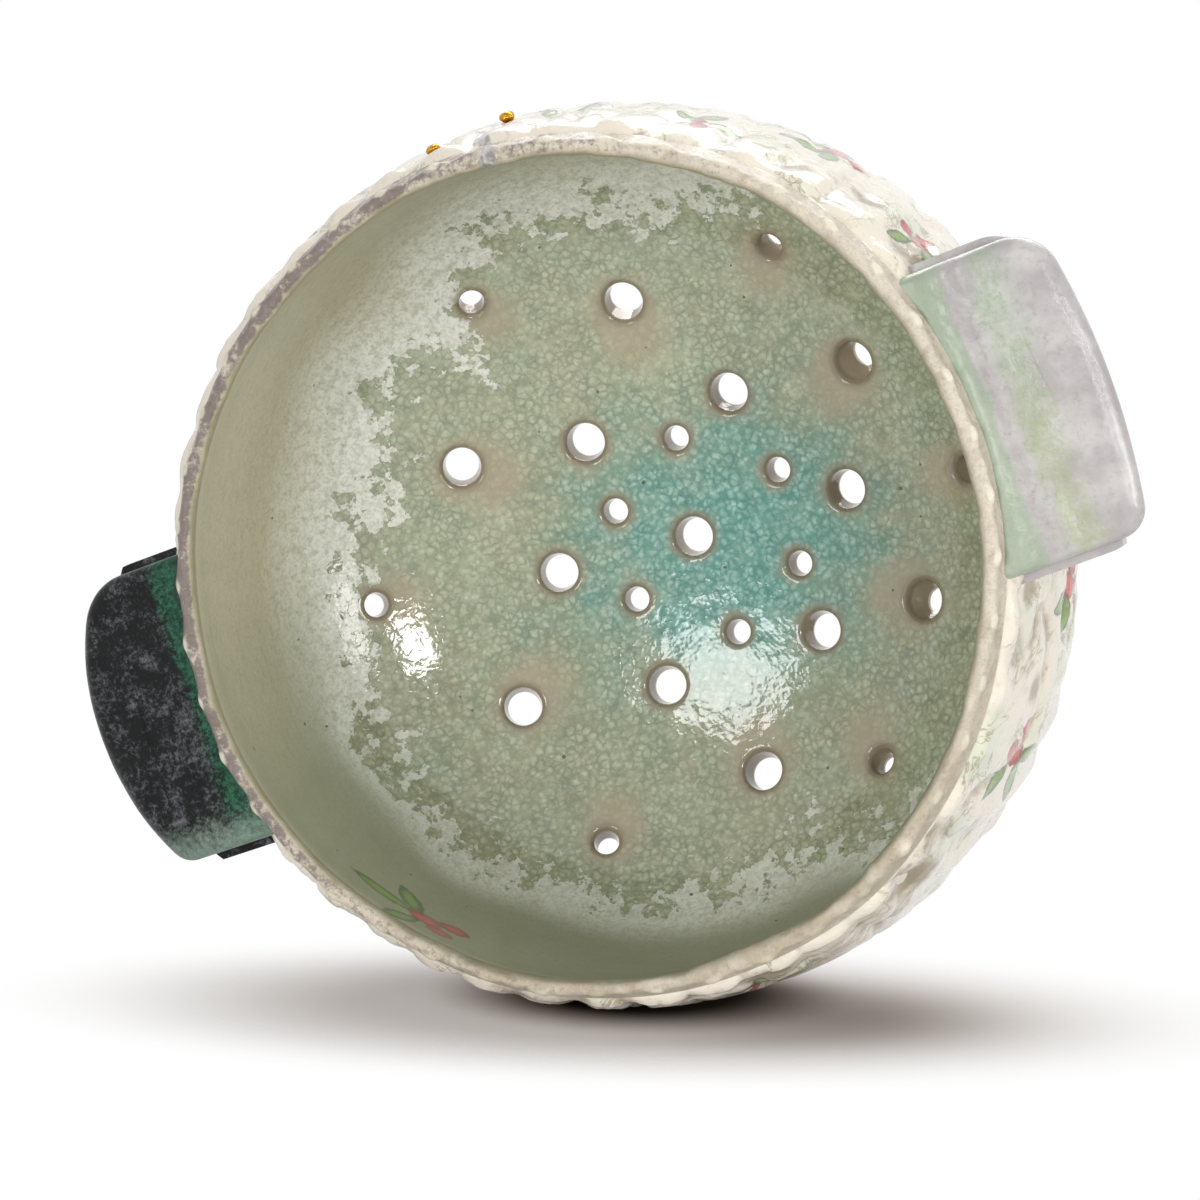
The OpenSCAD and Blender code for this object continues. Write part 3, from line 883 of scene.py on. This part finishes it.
class Nodes:
    """Short calls for making a material's node tree."""

    def __init__(self, name):
        self.material = bpy.data.materials.new(name)
        self.material.use_nodes = True
        self.tree = self.material.node_tree
        self.tree.nodes.clear()
        self.place = self.add("ShaderNodeTexCoord")["Object"]
        self.bent = None

    def add(self, kind, inputs=(), **settings):
        """Outputs of a new node; its inputs are linked to sockets or set to plain values."""
        node = self.tree.nodes.new(kind)
        for key, value in settings.items():
            setattr(node, key, value)
        for key, value in inputs.items() if isinstance(inputs, dict) else enumerate(inputs):
            socket = node.inputs[key]
            if isinstance(value, bpy.types.NodeSocket):
                self.tree.links.new(value, socket)
            elif isinstance(value, tuple):
                socket.default_value = (*value, 1.0)[:len(socket.default_value)]
            else:
                socket.default_value = value
        return node.outputs

    def math(self, operation, *values):
        return self.add("ShaderNodeMath", values, operation=operation)[0]

    def times(self, a, b):
        return self.math("MULTIPLY", a, b)

    def plus(self, a, b):
        return self.math("ADD", a, b)

    def vector(self, operation, *values):
        """Outputs of a calculation with vectors: a vector first, then a number."""
        return self.add("ShaderNodeVectorMath", values, operation=operation)

    def attribute(self, name):
        return self.add("ShaderNodeAttribute", attribute_name=name)["Fac"]

    def noise(self, size, detail=3.0, rough=NOISE_ROUGH, warp=0.0):
        """Noise from 0 to 1 whose lumps are size millimetres wide."""
        more = {"Detail": detail, "Roughness": rough, "Distortion": warp}
        return self.add("ShaderNodeTexNoise", features(self.place, size) | more)["Fac"]

    def bent_place(self):
        """The place on the object pushed about by some tenths of a millimetre, for uneven cells."""
        if self.bent is None:
            push = self.add("ShaderNodeTexNoise", features(self.place, BEND_SIZE))["Color"]
            centred = self.vector("SUBTRACT", push, (0.5, 0.5, 0.5))[0]
            self.bent = self.vector("MULTIPLY_ADD", centred, (BEND_PUSH * MM,) * 3, self.place)[0]
        return self.bent

    def throw_lines(self, size):
        """Noise from 0 to 1 in level lines round the bowl, as a potter's fingers leave them."""
        flat = self.vector("MULTIPLY", self.place, LINE_STRETCH)[0]
        return self.add("ShaderNodeTexNoise", features(flat, size))["Fac"]

    def cells(self, size, feature="F1", out="Distance"):
        """Uneven cells of about size millimetres."""
        return self.add("ShaderNodeTexVoronoi", features(self.bent_place(), size), feature=feature)[out]

    def between(self, value, low, high):
        """0 at low, 1 at high, with a soft rise between them."""
        inputs = {"Value": value, "From Min": low, "From Max": high}
        return self.add("ShaderNodeMapRange", inputs, interpolation_type="SMOOTHSTEP")["Result"]

    def centred(self, value, scale):
        """A value from 0 to 1 moved to lie round 0, and scaled."""
        return self.math("MULTIPLY_ADD", value, scale, -scale / 2)

    def ragged(self, name, swing, size, detail=3.0, rough=NOISE_ROUGH):
        """A field of the mesh plus noise, so that the edges in it wander."""
        return self.plus(self.attribute(name), self.centred(self.noise(size, detail, rough), swing))

    def over(self, share, wash, low, high):
        """A share thinned to low where a wash is 0 and to high where it is 1."""
        return self.times(share, self.math("MULTIPLY_ADD", wash, high - low, low))

    def blend(self, share, a, b):
        return self.add("ShaderNodeMix", {"Factor": share, 6: a, 7: b}, data_type="RGBA")[2]

    def lay(self, colour, second, value, low, high, share):
        """A second colour laid over the first, up to a share, where a value rises past low to high."""
        return self.blend(self.times(self.between(value, low, high), share), colour, second)

    def bump(self, height, depth):
        """Small dents and swellings, depth millimetres deep."""
        return self.add("ShaderNodeBump", {"Distance": depth * MM, "Height": height})[0]

    def finish(self, colour, rough, normal=None, coat=0.0, coat_rough=0.05, metallic=0.0, specular=0.5):
        """The material of an object; plain numbers are set on its shader's own sockets."""
        inputs = {"Base Color": colour, "Roughness": rough, "Coat Weight": coat,
                  "Coat Roughness": coat_rough, "Metallic": metallic, "Specular IOR Level": specular}
        if normal is not None:
            inputs |= {"Normal": normal, "Coat Normal": normal}
        return self.show(self.add("ShaderNodeBsdfPrincipled", inputs)[0])

    def show(self, shader):
        """The material, with a shader as its surface."""
        self.add("ShaderNodeOutputMaterial", {"Surface": shader})
        return self.material


def linear(red, green, blue):
    """A display colour, 0 to 255, as the linear values that shaders take."""
    shares = [value / 255 for value in (red, green, blue)]
    return tuple(c / 12.92 if c <= 0.04045 else ((c + 0.055) / 1.055) ** 2.4 for c in shares)


CELADON = linear(158, 163, 134)
CELADON_OLIVE = linear(158, 155, 125)
CELADON_GREEN = linear(108, 150, 126)
CELADON_DARK = linear(94, 112, 90)
CELADON_PALE = linear(200, 206, 182)
CELADON_LOW = linear(130, 134, 112)
TEAL = linear(95, 155, 141)
TEAL_DARK = linear(36, 100, 96)
TEAL_PALE = linear(188, 220, 212)
TAN = linear(167, 152, 125)
EDGE_BROWN = linear(126, 112, 92)
MILK = linear(231, 231, 222)
MILK_WARM = linear(190, 181, 153)
MILK_OLIVE = linear(172, 164, 128)
MILK_DULL = linear(206, 209, 197)
LIP_CREAM = linear(200, 190, 171)
LIP_OLIVE = linear(152, 145, 114)
LIP_STAIN = linear(92, 78, 72)
LIP_DARK = linear(58, 48, 50)
LIP_BEAD = linear(218, 212, 190)
CREAM = linear(222, 213, 197)
CREAM_GREEN = linear(200, 206, 182)
OLIVE = linear(136, 120, 86)
LILAC_GREY = linear(158, 152, 152)
LILAC_PALE = linear(182, 178, 176)
MAUVE = linear(140, 126, 130)
SAGE = linear(126, 150, 116)
SAGE_YELLOW = linear(142, 154, 104)
BLACK_GLAZE = linear(7, 8, 9)
SPECKLE = linear(112, 114, 118)
EMERALD = linear(38, 98, 70)
EMERALD_DARK = linear(14, 46, 36)
SAGE_GREY = linear(128, 146, 132)
BORE_TAN = linear(150, 137, 117)
BARE_CLAY = linear(186, 172, 146)
DARK_CLAY = linear(160, 146, 122)
GOLD = linear(212, 160, 46)
GOLD_BROWN = linear(150, 96, 30)
BERRY_RED = linear(198, 72, 64)
BERRY_DARK = linear(134, 34, 38)
LEAF_GREEN = linear(110, 148, 46)
LEAF_DARK = linear(44, 70, 28)
RUN_GREY = linear(116, 112, 120)

# Paints: field, colour at the edge, colour inside, depth of the change, least and most cover
PAINTS = [("leaf", LEAF_DARK, LEAF_GREEN, 1.3, 0.75, 1.0), ("berry", BERRY_DARK, BERRY_RED, 1.5, 0.7, 1.0)]


def painted(n, colour):
    """Berries and leaves washed over a glaze colour, with soft, uneven edges."""
    uneven = n.centred(n.noise(1.4, 4, 0.65), 1.1)
    wash = n.between(n.noise(2.2, 4), 0.25, 0.7)
    for field, dark, light, deep, least, most in PAINTS:
        inside = n.plus(n.attribute(field), uneven)
        paint = n.blend(n.between(inside, 0.1, deep), dark, light)
        colour = n.blend(n.over(n.between(inside, -0.2, 0.25), wash, least, most), colour, paint)
    return colour


def celadon_colour(n, milk, lines):
    """Colour of the glaze in the bowl, with painted light toward -Y but without the painted sprigs, and the
    distance to its crackle.
    """
    base = n.blend(n.between(n.noise(16, 3), 0.35, 0.65), CELADON, CELADON_OLIVE)
    # Painted light: the celadon turns paler toward -Y
    base = n.blend(n.times(n.attribute("lift"), 0.18), base, CELADON_PALE)
    drift = n.times(n.between(n.attribute("teal"), 0.02, 0.35), n.between(n.noise(13, 3), 0.4, 0.6))
    base = n.blend(n.times(drift, 0.35), base, CELADON_GREEN)
    teal = n.between(n.ragged("teal", 1.0, 11, 4), 0.05, 0.95)
    base = n.blend(teal, base, TEAL)
    pale = n.blend(teal, CELADON_PALE, TEAL_PALE)
    dark = n.blend(teal, CELADON_DARK, TEAL_DARK)
    base, crack = crackled(n, base, pale, dark)
    base = n.lay(base, TAN, n.ragged("halo", 0.5, 4, 4), 0.2, 0.85, 0.7)
    base = n.blend(n.times(milk, 0.92), base, milk_colour(n))
    base = n.lay(base, CELADON_LOW, lines, 0.45, 0.75, 0.16)
    base = n.blend(n.times(n.attribute("edge"), 0.6), base, EDGE_BROWN)
    base = n.blend(n.attribute("bore"), base, BORE_TAN)
    return n.lay(base, LEAF_DARK, n.cells(8), 0.05, 0.035, 0.85), crack


def celadon_glaze():
    """Crackled celadon: teal at the centre, tan at the holes, flaky milky glaze toward the mouth."""
    n = Nodes("celadon_glaze")
    milk = milk_share(n)
    lines = n.throw_lines(1.1)
    base, crack = celadon_colour(n, milk, lines)
    base = n.blend(n.between(n.attribute("side"), 0.6, 0.9), painted(n, base), cream_colour(n))
    rough = n.math("MULTIPLY_ADD", milk, 0.26, 0.08)
    parts = ((milk, 0.7), (n.noise(6, 3), 1.9), (n.noise(2.2, 3, 0.5), 0.24), (n.noise(0.7, 3, 0.6), 0.035),
             (n.between(crack, 0.0, 0.25), 0.05), (lines, 0.2))
    height = 0.0
    for part, share in parts:
        height = n.math("MULTIPLY_ADD", part, share, height)
    return n.finish(base, rough, n.bump(height, 0.12), coat=0.5, coat_rough=0.03)


def crackled(n, base, pale, dark):
    """Pale pebbles of two sizes with a darker net between them; also gives the distance to the net."""
    base = n.lay(base, dark, n.noise(2.6, 5, 0.65), 0.4, 0.75, 0.45)
    for size, strength in ((1.6, 0.5), (1.1, 0.6)):
        tone = n.add("ShaderNodeSeparateColor", [n.cells(size, out="Color")])[0]
        blob = n.over(n.between(n.cells(size), 0.62, 0.1), tone, 0.25, 1.0)
        base = n.blend(n.times(blob, strength), base, pale)
    crack = n.cells(1.6, "DISTANCE_TO_EDGE")
    lines = n.times(n.between(crack, 0.2, 0.0), n.between(n.noise(6, 3), 0.3, 0.6))
    base = n.blend(n.times(lines, 0.4), base, dark)
    return n.lay(base, dark, n.noise(0.5, 4, 0.7), 0.5, 0.68, 0.35), crack


def milk_share(n):
    """Where the milky glaze covers the celadon, with flakes and islands along its edge."""
    edge = n.attribute("milk")
    coarse = n.centred(n.noise(15, 3, 0.6), 0.9)
    flakes = n.centred(n.noise(7, 6, 0.66, 0.5), 1.5)
    band = n.between(n.math("ABSOLUTE", edge), 0.5, 0.0)
    islands = n.times(n.centred(n.noise(3.4, 5, 0.62), 2.4), band)
    return n.between(n.plus(n.plus(edge, coarse), n.plus(flakes, islands)), -0.02, 0.02)


def milk_colour(n):
    """Grey white at the flaky edge, warmer and thinner toward the mouth, dull on the low side."""
    white, depth, drop = n.attribute("white"), n.attribute("milk"), n.attribute("drop")
    colour = n.blend(n.between(depth, 0.1, 1.2), n.blend(white, MILK_DULL, MILK), MILK_WARM)
    colour = n.lay(colour, MILK_OLIVE, drop, 0.22, 0.07, 0.6)
    thin = n.times(n.between(white, 0.95, 0.2), n.between(depth, 0.16, 0.55))
    colour = n.blend(n.times(thin, 0.75), colour, CELADON_LOW)
    colour = n.lay(colour, CELADON_OLIVE, n.noise(1.8, 6, 0.7), 0.42, 0.68, 0.5)
    colour = n.lay(colour, CELADON_LOW, n.noise(0.7, 4, 0.7), 0.46, 0.66, 0.4)
    return n.lay(colour, LIP_CREAM, n.ragged("drop", 0.04, 5, 4), 0.11, 0.04, 0.5)


def lip_glaze():
    """Cream lip, stained mauve brown on the far side, with pale beads, an inner side like the wall and
    olive on the low side, partly painted shade.
    """
    n = Nodes("lip_glaze")
    patch = n.noise(3.5, 6, 0.7)
    grain = n.noise(1.0, 5, 0.72)
    level = n.attribute("across")
    colour = n.lay(LIP_CREAM, OLIVE, n.noise(5, 5, 0.65), 0.5, 0.72, 0.45)
    wall = n.blend(n.attribute("low"), LIP_OLIVE, CELADON_LOW)
    colour = n.blend(n.between(n.ragged("across", 0.35, 4, 5, 0.65), 0.52, 0.16), colour, wall)
    stain = n.plus(n.plus(n.attribute("stain"), n.centred(patch, 1.6)), n.centred(grain, 1.0))
    stain = n.math("SUBTRACT", stain, n.times(n.between(level, 0.4, 0.1), 0.8))
    colour = n.lay(colour, LIP_STAIN, stain, 0.35, 0.8, 0.9)
    colour = n.lay(colour, LIP_DARK, stain, 1.0, 1.5, 0.8)
    colour = n.lay(colour, MAUVE, grain, 0.45, 0.68, 0.4)
    colour = n.lay(colour, LIP_BEAD, n.ragged("bead", 0.5, 1.2), 0.35, 0.8, 0.8)
    # Darker olive on the low side, partly olive glaze and partly painted shade of the underside
    low = n.times(n.attribute("low"), n.between(n.noise(6, 4), 0.3, 0.6))
    colour = glaze_run(n, n.blend(n.times(low, 0.5), colour, OLIVE))
    height = n.math("MULTIPLY_ADD", patch, 1.2, grain)
    return n.finish(colour, 0.32, n.bump(height, 0.3), coat=0.4, coat_rough=0.08)


def glaze_run(n, colour):
    """The grey run laid over a glaze colour, with a ragged edge and paler streaks."""
    grey = n.blend(n.between(n.noise(1.2, 3), 0.4, 0.65), RUN_GREY, LILAC_PALE)
    return n.lay(colour, grey, n.ragged("run", 1.0, 1.6, 4, 0.65), 0.45, 0.8, 0.85)


def cream_colour(n):
    """Cream with pale green drifts, olive brown in the recesses and on the low side, partly pooled glaze
    and partly painted shade, and fine veins.
    """
    colour = n.blend(n.between(n.noise(14, 4), 0.45, 0.75), CREAM, CREAM_GREEN)
    # Olive brown in the recesses and on the low side, partly pooled glaze and partly painted shade
    pool_and_shade = n.math("MULTIPLY_ADD", n.attribute("low"), 0.25, n.ragged("recess", 1.4, 3.5, 6, 0.65))
    colour = n.lay(colour, OLIVE, pool_and_shade, 0.3, 1.0, 0.85)
    vein = n.math("ABSOLUTE", n.centred(n.noise(10, 5, 0.62, 0.9), 1.0))
    vein = n.times(n.between(vein, 0.03, 0.0), n.between(n.noise(14, 3), 0.42, 0.6))
    colour = n.blend(n.times(vein, 0.7), colour, OLIVE)
    colour = n.lay(colour, LILAC_GREY, n.noise(22, 2), 0.58, 0.75, 0.3)
    return n.lay(colour, OLIVE, n.noise(1.2, 5, 0.7), 0.55, 0.75, 0.2)


def cream_glaze():
    """Glossy cream, with painted sprigs and the grey run from the lip."""
    n = Nodes("cream_glaze")
    colour = glaze_run(n, painted(n, cream_colour(n)))
    height = n.plus(n.noise(1.5, 4), n.noise(5, 3))
    return n.finish(colour, 0.2, n.bump(height, 0.16), coat=0.6, coat_rough=0.06)


def lilac_glaze(name, banded):
    """Lilac grey glaze; banded adds the slab's green valley, lilac ridge and sage band."""
    n = Nodes(name)
    mottle = n.noise(1.6, 5, 0.7)
    colour = n.blend(n.between(n.noise(9, 4), 0.35, 0.68), LILAC_GREY, LILAC_PALE)
    colour = n.lay(colour, MAUVE, mottle, 0.5, 0.72, 0.45)
    if banded:
        reach = n.ragged("reach", 0.25, 8)
        patch = n.centred(n.noise(3, 5, 0.65), 1.0)
        green = n.blend(n.between(n.attribute("along"), -0.5, 0.6), SAGE_YELLOW, SAGE)
        band = n.times(n.between(reach, 0.16, 0.42), n.between(reach, 0.82, 0.42))
        sage = n.plus(n.plus(band, patch), n.centred(mottle, 1.4))
        colour = n.lay(colour, green, sage, 0.2, 1.5, 0.75)
        valley = n.math("MULTIPLY_ADD", patch, 0.9, n.between(reach, 0.22, 0.08))
        colour = n.lay(colour, SAGE, valley, 0.25, 1.1, 0.65)
    height = n.math("MULTIPLY_ADD", mottle, 0.5, n.noise(5, 3))
    return n.finish(colour, 0.3, n.bump(height, 0.25), coat=0.4, coat_rough=0.1)


def dark_glaze(name, banded):
    """Black glaze with clouds of fine grey specks; banded adds the emerald side and paler end."""
    n = Nodes(name)
    speck = n.noise(0.9, 5, 0.78)
    soft = n.noise(2.2, 4, 0.65)
    clouded = n.plus(n.centred(speck, 2.8), n.centred(n.noise(6, 4, 0.6), 1.8))
    clouded = n.plus(clouded, n.centred(soft, 0.7))
    colour = n.lay(BLACK_GLAZE, SPECKLE, clouded, -0.1, 0.85, 0.7)
    if banded:
        near = n.plus(n.between(n.attribute("reach"), 0.28, 0.0), n.centred(speck, 1.8))
        green = n.blend(n.between(n.centred(speck, 1.0), -0.1, 0.15), EMERALD_DARK, EMERALD)
        colour = n.lay(colour, green, near, 0.3, 0.9, 0.9)
        mottled = n.plus(n.centred(speck, 1.0), n.centred(soft, 0.5))
        end = n.plus(n.between(n.attribute("along"), 0.45, 1.15), mottled)
        colour = n.lay(colour, SAGE_GREY, end, 0.25, 1.0, 0.75)
    height = n.math("MULTIPLY_ADD", speck, 0.4, n.noise(4, 3))
    return n.finish(colour, 0.3, n.bump(height, 0.2), coat=0.08, coat_rough=0.1, specular=0.16)


# Heights on the foot ring between which clay gives way to glaze, and how far that edge wanders, in mm
GLAZE_END = (1.6, 2.0)
GLAZE_WANDER = 3


def foot_clay():
    """Bare clay on the foot, with a wandering edge of glaze above it."""
    n = Nodes("foot_clay")
    z = n.add("ShaderNodeSeparateXYZ", [n.place])[2]
    z = n.plus(z, n.centred(n.noise(9, 3), GLAZE_WANDER * MM))
    glazed = n.between(z, *(end * MM for end in GLAZE_END))
    clay = n.blend(n.between(n.noise(1.2, 5), 0.4, 0.7), BARE_CLAY, DARK_CLAY)
    glaze = n.blend(n.between(n.noise(8, 4), 0.4, 0.7), CREAM, CREAM_GREEN)
    rough = n.math("SUBTRACT", 0.75, n.times(glazed, 0.5))
    return n.finish(n.blend(glazed, clay, glaze), rough, n.bump(n.noise(1.2, 4), 0.15))


def gold_lustre():
    """Fired gold, browner in patches."""
    n = Nodes("gold_lustre")
    colour = n.blend(n.between(n.noise(0.8, 3), 0.35, 0.7), GOLD, GOLD_BROWN)
    return n.finish(colour, n.plus(0.12, n.times(n.noise(1.0, 2), 0.2)), metallic=1.0)


def dress(obj, material):
    """Gives a piece its material."""
    obj.data.materials.clear()
    obj.data.materials.append(material)


# The object
shell = make_shell()
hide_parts("bowl_shell")
lip = make_lip()
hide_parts("rim_lip")
reliefs = [relief_patch(*band) for band in RELIEF_BANDS]
DARK_TAB = Tab(reach=25.7, width=54, corner_low=12, corner_high=5, bow_r=44, turn=0)
PALE_TAB = Tab(reach=23.3, width=54, corner_low=5, corner_high=8, bow_r=130, turn=181.4)
dark = make_handle("dark_grip", "dark_handle", DARK_TAB, dark_shape, 21)
pale = make_handle("pale_grip", "pale_handle", PALE_TAB, pale_shape, 31)
beads = make_nubs()

cream = cream_glaze()
dress(shell, celadon_glaze())
dress(lip, lip_glaze())
for piece in reliefs:
    dress(piece, cream)
dress(dark, dark_glaze("dark_glaze", True))
dress(pale, lilac_glaze("lilac_glaze", True))
dress(beads, gold_lustre())
for piece in [shell, lip, *reliefs, dark, pale, beads]:
    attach(piece, "root")

# CAD nodes that show as they are, with a soft edge, in metres
SOFT_EDGE = 0.6 * MM
SOFT_EDGE_STEPS = 3
for node, material in (("foot_ring", foot_clay()),
                       ("pale_handle_bracket", lilac_glaze("lilac_glaze_plain", False)),
                       ("dark_handle_bracket", dark_glaze("dark_glaze_plain", False))):
    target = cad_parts[node]
    target.data.materials.clear()
    target.data.materials.append(material)
    soft_edge = target.modifiers.new("soft_edge", "BEVEL")
    soft_edge.width = SOFT_EDGE
    soft_edge.segments = SOFT_EDGE_STEPS
    soft_edge.limit_method = "ANGLE"


def link_by_axes(obj, at, right, up, back):
    """Puts a new object in the scene, at a point and with its axes along three directions."""
    obj.matrix_world = Matrix.Translation(at) @ Matrix((right, up, back)).transposed().to_4x4()
    bpy.context.scene.collection.objects.link(obj)


# Camera, fitted to the mouth and the drain holes
CAMERA_AT = Vector((-193.43, 7.42, 643.07)) * MM
CAMERA_RIGHT = Vector((-0.8947, 0.3256, -0.3058))
CAMERA_UP = Vector((-0.3089, -0.9455, -0.1029))
CAMERA_BACK = Vector((-0.3227, 0.0024, 0.9465))
SENSOR_WIDTH = 36
LENS = 102


def add_camera():
    """The camera of the photo."""
    data = bpy.data.cameras.new("camera")
    data.sensor_width = SENSOR_WIDTH
    data.lens = LENS
    camera = bpy.data.objects.new("camera", data)
    link_by_axes(camera, CAMERA_AT, CAMERA_RIGHT, CAMERA_UP, CAMERA_BACK)
    bpy.context.scene.camera = camera


def from_camera(right, up, back):
    """A direction given by the camera's own axes, in the part's frame."""
    return CAMERA_RIGHT * right + CAMERA_UP * up + CAMERA_BACK * back


# Soft boxes: right, up and back from the bowl in the picture; distance and sizes in metres; power in
# watts; whether glaze mirrors them
SOFTBOXES = {
    "top_box": ((0.1, 0.9, -0.35), 0.75, (0.75, 0.5), 5.1, True),
    "side_box": ((0.85, 0.15, 0.75), 0.9, (0.3, 0.4), 3.2, True),
    "left_box": ((-0.62, 0.08, 0.78), 0.9, (0.19, 0.23), 1.05, True),
    "right_box": ((0.25, 0.13, 0.96), 0.95, (0.15, 0.2), 1.5, True),
    "bounce_box": ((0.2, -0.6, 0.8), 0.9, (0.6, 0.5), 2.0, False),
    "fill_box": ((-0.5, -0.2, 0.84), 0.9, (0.3, 0.3), 2.8, False),
}
LIT_POINT = Vector((0, 0, 45 * MM))
WORLD_LIGHT = 0.42


def add_softbox(name, direction, distance, size, power, mirrored):
    """A rectangular lamp that faces the bowl."""
    data = bpy.data.lights.new(name, "AREA")
    data.shape = "RECTANGLE"
    data.size, data.size_y = size
    data.energy = power
    lamp = bpy.data.objects.new(name, data)
    lamp.location = LIT_POINT + direction.normalized() * distance
    lamp.rotation_euler = direction.to_track_quat("Z", "Y").to_euler()
    lamp.visible_glossy = mirrored
    bpy.context.scene.collection.objects.link(lamp)


def background_seen(tree):
    """1 for camera, glossy and transmitted rays, 0 for the rays that light the object."""
    path = tree.nodes.new("ShaderNodeLightPath")
    seen = path.outputs["Is Camera Ray"]
    for ray in ("Is Glossy Ray", "Is Transmission Ray"):
        most = tree.nodes.new("ShaderNodeMath")
        most.operation = "MAXIMUM"
        tree.links.new(seen, most.inputs[0])
        tree.links.new(path.outputs[ray], most.inputs[1])
        seen = most.outputs[0]
    return seen


def add_world():
    """Soft light from all round, with a white background."""
    world = bpy.data.worlds.new("studio")
    world.use_nodes = True
    tree = world.node_tree
    tree.nodes.clear()
    strength = tree.nodes.new("ShaderNodeMapRange")
    strength.inputs["To Min"].default_value = WORLD_LIGHT
    tree.links.new(background_seen(tree), strength.inputs["Value"])
    back = tree.nodes.new("ShaderNodeBackground")
    out = tree.nodes.new("ShaderNodeOutputWorld")
    back.inputs["Color"].default_value = (1, 1, 1, 1)
    tree.links.new(strength.outputs["Result"], back.inputs["Strength"])
    tree.links.new(back.outputs[0], out.inputs["Surface"])
    bpy.context.scene.world = world


# The photo's floor, in metres
FLOOR_PITCH = math.radians(10.5)
FLOOR_HALF = 0.25
FLOOR_COLOUR = (0.3, 0.28, 0.262)
# Painted contact shadow: a dark floor colour and a brown tint of the glow where the bowl touches
FLOOR_CONTACT_SHADOW = (0.03, 0.024, 0.018)
GLOW_COLOUR = (1.0, 0.95, 0.915)
GLOW_SHADOW_BROWN = (1.0, 0.78, 0.64)
GLOW_STRENGTH = 0.31

# Ovals of painted shadow on the floor, from the point that the bowl touches: place right and up in the
# picture, half sizes, turn in degrees, and the shares of the oval where its fade starts and ends. The patch
# is a grey oval of painted shade that fades into the white beyond it; the contact oval and the cast oval
# are painted shadows
FLOOR_SHADE_PATCH = ((-0.001, -0.012), (0.122, 0.046), -6, 0.38, 1.0)
CONTACT_SHADOW_OVAL = ((0.002, -0.002), (0.042, 0.027), -4, 0.42, 1.0)
CAST_SHADOW_OVAL = ((0.036, -0.016), (0.064, 0.034), -12, 0.0, 1.0)
# How far the painted cast shadow darkens the floor
CAST_SHADOW_DEPTH = 0.55


def floor_oval(n, oval):
    """0 inside an oval of the floor, 1 outside it, with a soft rise between."""
    centre, size, turn, start, end = oval
    inputs = {"Vector": n.place, "Location": (*centre, 0), "Rotation": (0, 0, math.radians(turn)),
              "Scale": (*size, 1)}
    shift = n.add("ShaderNodeMapping", inputs, vector_type="TEXTURE")["Vector"]
    return n.between(n.vector("LENGTH", shift)["Value"], start, end)


def floor_material():
    """Pale floor, see-through beyond its patch and from below, with painted shadow: a grey patch of painted
    shade round the bowl, a painted cast shadow and a dark brown painted contact shadow where the bowl
    touches it.
    """
    n = Nodes("white_floor")
    # Painted shadow: colour and glow go dark and brown in the contact oval and dimmer in the cast oval
    cast_shadow = n.math("MULTIPLY_ADD", floor_oval(n, CAST_SHADOW_OVAL), CAST_SHADOW_DEPTH, 1 - CAST_SHADOW_DEPTH)
    unshadowed_share = n.times(floor_oval(n, CONTACT_SHADOW_OVAL), cast_shadow)
    paint = n.blend(unshadowed_share, FLOOR_CONTACT_SHADOW, FLOOR_COLOUR)
    seen = n.times(unshadowed_share, background_seen(n.tree))
    tint = n.blend(unshadowed_share, GLOW_SHADOW_BROWN, GLOW_COLOUR)
    glow = {"Color": tint, "Strength": n.times(seen, GLOW_STRENGTH)}
    lit = n.add("ShaderNodeAddShader", [n.add("ShaderNodeBsdfDiffuse", {"Color": paint})[0],
                                        n.add("ShaderNodeEmission", glow)[0]])[0]
    below = n.add("ShaderNodeNewGeometry")["Backfacing"]
    # Painted shade: the grey patch fades into the white backdrop beyond its oval
    gone = n.math("MAXIMUM", floor_oval(n, FLOOR_SHADE_PATCH), below)
    clear = n.add("ShaderNodeBsdfTransparent")[0]
    return n.show(n.add("ShaderNodeMixShader", [gone, lit, clear])[0])


def add_photo_floor():
    """The white floor under the bowl's side in the camera's view."""
    up = from_camera(0, math.cos(FLOOR_PITCH), math.sin(FLOOR_PITCH)).normalized()
    points = np.concatenate([[v.co for v in o.data.vertices] for o in (*reliefs, lip)])
    touch = Vector(points[(points @ np.array(up)).argmin()])
    across = (CAMERA_RIGHT - up * CAMERA_RIGHT.dot(up)).normalized()
    mesh = bpy.data.meshes.new("photo_floor")
    corners = [(a * FLOOR_HALF, b * FLOOR_HALF, 0) for a, b in ((-1, -1), (1, -1), (1, 1), (-1, 1))]
    mesh.from_pydata(corners, [], [(0, 1, 2, 3)])
    mesh.materials.append(floor_material())
    floor = bpy.data.objects.new("photo_floor", mesh)
    link_by_axes(floor, touch, across, up.cross(across), up)


add_camera()
add_world()
for lamp_name, (place, *settings) in SOFTBOXES.items():
    add_softbox(lamp_name, from_camera(*place), *settings)
add_photo_floor()

scene = bpy.context.scene
scene.view_settings.view_transform = "Standard"

bpy.context.view_layer.update()
